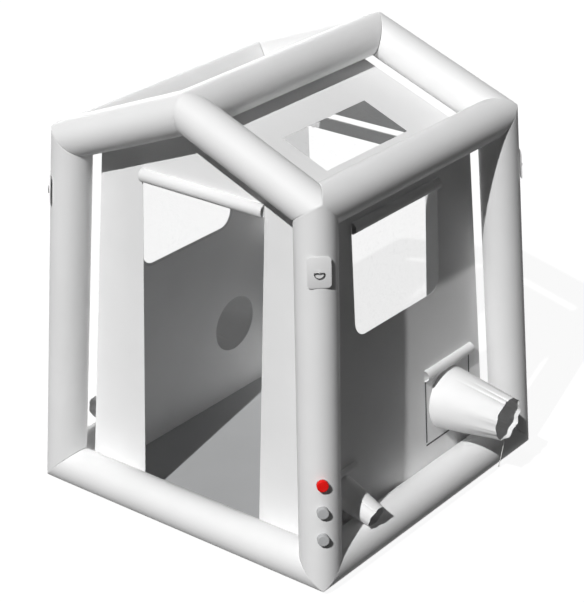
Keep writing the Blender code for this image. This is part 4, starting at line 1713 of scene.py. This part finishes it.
@dataclass
class TieDowns:
    """Welded patches on the legs, with a D ring in a webbing keeper on each."""

    shape: TentShape
    finishes: Finishes
    below_eave: float = 0.319
    width: float = 0.136
    height: float = 0.182
    thickness: float = 0.0025
    corner: float = 0.022
    bevel: float = 0.0008
    bevel_bow: float = 0.3
    wire: float = 0.0022
    half_ring: float = 0.0285
    drop: float = 0.033
    ring_corner: float = 0.0028
    standoff: float = 0.009
    clearance: float = 0.0005
    keeper_width: float = 0.0035
    keeper_cloth: float = 0.0015
    keeper_foot: float = 0.010
    keeper_steps: int = 20
    stitch_rows: tuple[float, float] = (0.25, 0.80)
    stitch_half: tuple[float, float] = (0.0012, 0.0004)
    stitch_corner: float = 0.0003
    stitch_sunk: float = 0.0003
    stitch_raised: float = 0.0004
    bar_steps: int = 6
    corner_steps: int = 6
    bow_steps: int = 64
    ring_sides: int = 20

    def plate(self, name: str, matrix: Matrix) -> None:
        """Builds the patch, with its edge eased.

        Args:
            name: Its CAD node.
            matrix: Its frame on the leg.
        """
        top, bow = self.shape.gap + self.thickness, self.bevel * self.bevel_bow
        section = ((0, self.shape.gap), (0, top - self.bevel), (bow, top - bow), (self.bevel, top))
        rows = []
        for inset, height in section:
            half_width, half_height, corner = (size - inset for size in
                                               (self.width / 2, self.height / 2, self.corner))
            outline = rounded_box(-half_width, half_width, -half_height, half_height, corner, corner)
            rows.append([Vector((x, y, height)) for x, y in outline])
        form = Form()
        form.body(rows)
        form.map_flat()
        piece = form.piece(f"{name}_plate", self.finishes.of[Slot.PANEL], matrix, sharp=60)
        add_piece(piece, Slot.PANEL, name)

    def keeper(self, name: str, matrix: Matrix) -> None:
        """Builds the webbing that holds the ring's bar, and its stitches.

        Args:
            name: The CAD node of the patch that it is sewn on.
            matrix: The patch's frame.
        """
        top, cloth = self.shape.gap + self.thickness, self.keeper_cloth
        inside = self.wire + self.clearance
        outside = inside + cloth
        foot = outside + self.keeper_foot
        arc = [math.pi * step / self.keeper_steps for step in range(self.keeper_steps + 1)]
        outer, inner = ([(reach * math.cos(angle), self.standoff + reach * math.sin(angle)) for angle in arc]
                        for reach in (outside, inside))
        section = [(foot, 0.0), (foot, cloth), (outside, cloth), *outer, (-outside, cloth), (-foot, cloth),
                   (-foot, 0.0), (-inside, 0.0), *reversed(inner), (inside, 0.0)]
        form = Form()
        form.body([[Vector((self.keeper_width * across, up, top + out)) for up, out in section]
                   for across in (-1 / 2, -1 / 6, 1 / 6, 1 / 2)])
        add_piece(form.piece(f"{name}_keeper", self.finishes.of[Slot.PANEL], matrix), Slot.PANEL)
        stitches = Form()
        half_length, half_width = self.stitch_half
        for way in (-1, 1):
            for row in self.stitch_rows:
                y = way * (outside + self.keeper_foot * row)
                outline = rounded_box(-half_length, half_length, y - half_width, y + half_width,
                                      self.stitch_corner, self.stitch_corner, steps=3)
                stitches.prism(outline, top + cloth - self.stitch_sunk, top + cloth + self.stitch_raised)
        add_piece(stitches.piece(f"{name}_stitches", self.finishes.of[Slot.CORD], matrix), Slot.CORD)

    def ring(self, name: str, matrix: Matrix) -> None:
        """Builds the D ring, which hangs plumb from its keeper.

        Args:
            name: Its CAD node and body.
            matrix: The frame of the patch that it hangs on.
        """
        centre = matrix @ Vector((0, 0, self.shape.gap + self.thickness + self.standoff))
        along = matrix.col[0].xyz
        bend, bow = self.ring_corner, self.drop - self.ring_corner
        bar = self.half_ring - bend
        turns = [math.radians(90 * step / self.corner_steps) for step in range(1, self.corner_steps)]
        bends = [(bar + bend * math.sin(turn), -bend + bend * math.cos(turn)) for turn in turns]
        angles = [math.pi * step / self.bow_steps for step in range(self.bow_steps + 1)]
        path = [(bar * step / self.bar_steps, 0.0) for step in range(-self.bar_steps, self.bar_steps + 1)]
        path += bends
        path += [(self.half_ring * math.cos(angle), -bend - bow * math.sin(angle)) for angle in angles]
        path += [(-x, y) for x, y in reversed(bends)]
        form = Form()
        form.wire([Vector((x, y, 0)) for x, y in path], self.wire, self.ring_sides)
        plumb = frame_matrix(along, UP, along.cross(UP), centre)
        piece = form.piece(f"{name}_wire", self.finishes.of[Slot.RING], plumb, sharp=80)
        add_piece(piece, Slot.RING, name, body=name)

    def build(self) -> None:
        """Builds the tie-down point of every leg."""
        for end in End:
            for side in Side:
                leg = f"{end.word}_{side.word}"
                matrix = self.shape.leg_matrix(end, side, self.shape.eave_height - self.below_eave)
                self.plate(f"tie_patch_{leg}", matrix)
                self.keeper(f"tie_patch_{leg}", matrix)
                self.ring(f"tie_ring_{leg}", matrix)


# Valves


@dataclass
class Valves:
    """The three valves on the front right leg."""

    shape: TentShape
    finishes: Finishes
    lowest: float = 0.382
    pitch: float = 0.1725
    bore: float = 0.018
    bore_sides: int = 48
    neck: float = 0.026
    flange: float = 0.0345
    flange_height: float = 0.006
    neck_height: float = 0.022
    web_height: float = 0.004
    web: float = 0.003
    ports: int = 5
    port_radius: float = 0.0045
    port_circle: float = 0.0110
    port_sides: int = 24
    ease: float = 0.0012
    fine_ease: float = 0.0006
    cap_height: float = 0.033
    cap_top: float = 0.006
    chamfer: float = 0.003
    chamfer_bow: tuple[float, float] = (0.35, 0.30)
    groove: tuple[tuple[float, float], ...] = ((0.62, 0.0), (0.60, 0.0005), (0.56, 0.0005), (0.54, 0.0))
    disc_radius: float = 0.0165
    disc: float = 0.002
    stem: float = 0.003
    button_radius: float = 0.0055
    button: float = 0.002
    plunger_height: float = 0.018
    clearance: float = 0.0005
    sides: int = 72

    def lathe(self, name: str, profile: Sequence[tuple[float, float]], matrix: Matrix, slot: Slot, loop: bool,
              saddle: int = 0) -> bpy.types.Object:
        """Turns a profile round the valve's axis.

        Args:
            name: The object's name.
            profile: Radius and height of each point.
            matrix: The valve's frame.
            slot: The record's slot.
            loop: Whether the profile closes on itself, as round a bore.
            saddle: How many of the first points follow the leg's round skin.

        Returns:
            The turned object.
        """
        skin = self.shape.beam_radius
        rows = []
        for index, (radius, height) in enumerate(profile):
            row = []
            for step in range(self.sides):
                angle = math.tau * step / self.sides
                x, y = radius * math.cos(angle), radius * math.sin(angle)
                sunk = math.sqrt(skin ** 2 - x ** 2) - skin if index < saddle else 0.0
                row.append(Vector((x, y, height + sunk)))
            rows.append(row)
        form = Form()
        if loop:
            form.lattice(rows, loop=True)
        else:
            form.body(rows)
        return form.piece(name, self.finishes.of[slot], matrix, sharp=35)

    def body(self, name: str, matrix: Matrix) -> None:
        """Builds a body: flange, neck, and a web with ports round the plunger's guide.

        Args:
            name: The valve's name.
            matrix: The valve's frame.
        """
        gap, bore, neck, flange, ease = self.shape.gap, self.bore, self.neck, self.flange, self.ease
        web_top, guide = self.web_height + self.web, self.stem + self.clearance
        profile = [
            (bore, gap), ((bore + flange) / 2, gap), (flange, gap), (flange, self.flange_height - ease),
            (flange - ease, self.flange_height), (neck, self.flange_height), (neck, self.neck_height - ease),
            (neck - ease, self.neck_height), (bore, self.neck_height), (bore, web_top), (guide, web_top),
            (guide, self.web_height), (bore, self.web_height)]
        piece = self.lathe(f"{name}_housing", profile, matrix, Slot.PLASTIC, loop=True, saddle=3)
        cutters = []
        for port in range(self.ports):
            angle = math.tau * port / self.ports
            centre = (self.port_circle * math.cos(angle), self.port_circle * math.sin(angle))
            outline = circle(centre, self.port_radius, self.port_sides)
            cutters.append(make_cutter(f"{name}_port_{port}", outline, 2 * web_top,
                                       self.finishes.of[Slot.PLASTIC], matrix))
        cut_openings(piece, cutters)
        add_piece(piece, Slot.PLASTIC, f"{name}_body")

    def cap(self, name: str, matrix: Matrix, slot: Slot) -> None:
        """Builds the quarter-turn cap over a valve's neck.

        Args:
            name: The valve's name.
            matrix: The valve's frame.
            slot: The record's slot, which sets the cap's colour.
        """
        inside, skirt, top = self.neck + self.clearance, self.flange_height + self.shape.gap, self.cap_height
        rim, ease, chamfer, third = self.flange, self.fine_ease, self.chamfer, self.chamfer / 3
        beside, along = (third * share for share in self.chamfer_bow)
        profile = [
            (inside, top - self.cap_top), (inside, skirt), (rim - ease, skirt), (rim, skirt + ease),
            (rim, top - chamfer - third), (rim - beside, top - chamfer + along),
            (rim - chamfer + along, top - beside), (rim - chamfer - third, top)]
        profile += [(rim * share, top - depth) for share, depth in self.groove]
        piece = self.lathe(f"{name}_lid", profile, matrix, slot, loop=False)
        add_piece(piece, slot, f"{name}_cap", body=f"{name}_cap")

    def plunger(self, name: str, matrix: Matrix) -> None:
        """Builds the plunger that closes the ports from inside.

        Args:
            name: The valve's name.
            matrix: The valve's frame.
        """
        top, ease = self.web_height - self.shape.gap, self.fine_ease
        neck = self.plunger_height - self.button
        profile = [
            (self.disc_radius - ease, top - self.disc), (self.disc_radius, top - self.disc + ease),
            (self.disc_radius, top), (self.stem, top), (self.stem, neck), (self.button_radius, neck),
            (self.button_radius, self.plunger_height - ease),
            (self.button_radius - ease, self.plunger_height)]
        piece = self.lathe(f"{name}_stem", profile, matrix, Slot.PLASTIC, loop=False)
        add_piece(piece, Slot.PLASTIC, f"{name}_plunger", body=f"{name}_plunger")

    def bore_leg(self, matrices: Sequence[Matrix]) -> None:
        """Cuts the valves' holes through the leg's skin.

        Args:
            matrices: The valves' frames.
        """
        outline = circle((0, 0), self.bore, self.bore_sides)
        cut_openings(bpy.data.objects["leg_front_right_cloth"],
                     [make_cutter(f"leg_bore_{index}", outline, self.shape.beam_radius / 2,
                                  self.finishes.of[Slot.BEAM], matrix)
                      for index, matrix in enumerate(matrices)])

    def build(self) -> None:
        """Builds the valves from the lowest up; the highest lets out too much pressure and has a red cap."""
        valves = (("deflate_valve", Slot.PLASTIC), ("inflate_valve", Slot.PLASTIC),
                  ("relief_valve", Slot.RED))
        matrices = []
        for index, (name, slot) in enumerate(valves):
            matrix = self.shape.leg_matrix(End.FRONT, Side.RIGHT, self.lowest + index * self.pitch)
            matrices.append(matrix)
            self.body(name, matrix)
            self.cap(name, matrix, slot)
            self.plunger(name, matrix)
        self.bore_leg(matrices)


# Studio


@dataclass
class Studio:
    """Camera, lamps, pale floor and white surroundings."""

    place: tuple[float, float, float] = (6.939, -8.753, 6.5245)
    yaw: float = -0.6687
    pitch: float = -0.4475
    roll: float = -0.0105
    focal_pixels: float = 1980.19
    long_side: int = 602
    sensor: float = 36.0
    sight: float = 200.0
    key_from: tuple[float, float, float] = (0.144, -0.702, 0.698)
    key_strength: float = 3.25
    key_angle: float = math.radians(0.7)
    ambient: float = 0.03
    fill_from: tuple[float, float, float] = (-0.76, 0.60, 0.20)
    fill_strength: float = 1.2
    fill_angle: float = math.radians(25.0)
    floor_size: float = 60.0
    floor_depth: float = 0.0005
    floor_glow: float = 0.93
    floor_colour: Colour = (0.14, 0.14, 0.14)
    floor_bounce: Colour = (0.03, 0.03, 0.03)

    def camera(self) -> None:
        """Adds the camera at the photograph's place."""
        forward = Vector((math.sin(self.yaw) * math.cos(self.pitch),
                          math.cos(self.yaw) * math.cos(self.pitch), math.sin(self.pitch)))
        right = Vector((math.cos(self.yaw), -math.sin(self.yaw), 0))
        up = right.cross(forward)
        turned = right * math.cos(self.roll) + up * math.sin(self.roll)
        upright = up * math.cos(self.roll) - right * math.sin(self.roll)
        lens = bpy.data.cameras.new("camera")
        lens.sensor_fit = "AUTO"
        lens.sensor_width = self.sensor
        lens.lens = self.focal_pixels * self.sensor / self.long_side
        lens.clip_end = self.sight
        camera = bpy.data.objects.new("camera", lens)
        camera.matrix_world = frame_matrix(turned, upright, -forward, Vector(self.place))
        bpy.context.collection.objects.link(camera)
        bpy.context.scene.camera = camera

    def lamp(self, name: str, come_from: tuple[float, float, float], strength: float, angle: float) -> None:
        """Adds a lamp so far away that its light comes from one direction.

        Args:
            name: Its name.
            come_from: The direction that its light comes from.
            strength: Its strength in watts to the square metre.
            angle: How wide it looks, which softens its shadows.
        """
        lamp = bpy.data.lights.new(name, "SUN")
        lamp.energy = strength
        lamp.angle = angle
        holder = bpy.data.objects.new(name, lamp)
        holder.matrix_world = Vector(come_from).to_track_quat("Z", "Y").to_matrix().to_4x4()
        bpy.context.collection.objects.link(holder)

    def surroundings(self) -> None:
        """Makes the world white to the eye and a soft fill to the tent."""
        w = NodeWriter(bpy.data.worlds.new("surroundings"))
        fill = w.node("ShaderNodeBackground", {}, {"Color": WHITE, "Strength": self.ambient})
        white = w.node("ShaderNodeBackground", {}, {"Color": WHITE})
        w.close(w.node("ShaderNodeMixShader", {}, {0: w.seen(), 1: fill, 2: white}), "ShaderNodeOutputWorld")
        bpy.context.scene.world = w.owner

    def floor(self) -> None:
        """Adds the floor, which keeps the tent's shadow and fades into the white round it."""
        half = self.floor_size / 2
        form = Form()
        form.lattice([[Vector((x, y, -self.floor_depth)) for x in (-half, half)] for y in (-half, half)],
                     ring=False)
        w = NodeWriter(bpy.data.materials.new("studio_floor"))
        matt = w.node("ShaderNodeBsdfDiffuse", {}, {"Color": self.floor_colour})
        bounce = w.node("ShaderNodeBsdfDiffuse", {}, {"Color": self.floor_bounce})
        glow = w.node("ShaderNodeEmission", {}, {"Color": WHITE, "Strength": self.floor_glow})
        shown = w.node("ShaderNodeAddShader", {}, {0: matt, 1: glow})
        w.close(w.node("ShaderNodeMixShader", {}, {0: w.seen(), 1: bounce, 2: shown}))
        floor = form.piece("studio_floor", w.owner, sharp=0)

    def build(self) -> None:
        """Sets up the whole studio."""
        bpy.context.scene.view_settings.view_transform = "Standard"
        self.camera()
        self.lamp("key", self.key_from, self.key_strength, self.key_angle)
        self.lamp("fill", self.fill_from, self.fill_strength, self.fill_angle)
        self.surroundings()
        self.floor()


def main() -> None:
    """Dresses the CAD frame, piece by piece."""
    logging.basicConfig(level=logging.INFO, format="%(name)s: %(message)s")
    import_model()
    Studio().build()
    shape, finishes = TentShape(), Finishes()
    rolls = Rolls(shape, finishes)
    sleeves = Sleeves(shape, finishes)
    sleeves.build(rolls)
    AirBeams(shape, finishes).build()
    InnerTent(shape, finishes).build(rolls, sleeves)
    TieDowns(shape, finishes).build()
    Valves(shape, finishes).build()


if __name__ == "__main__":
    main()
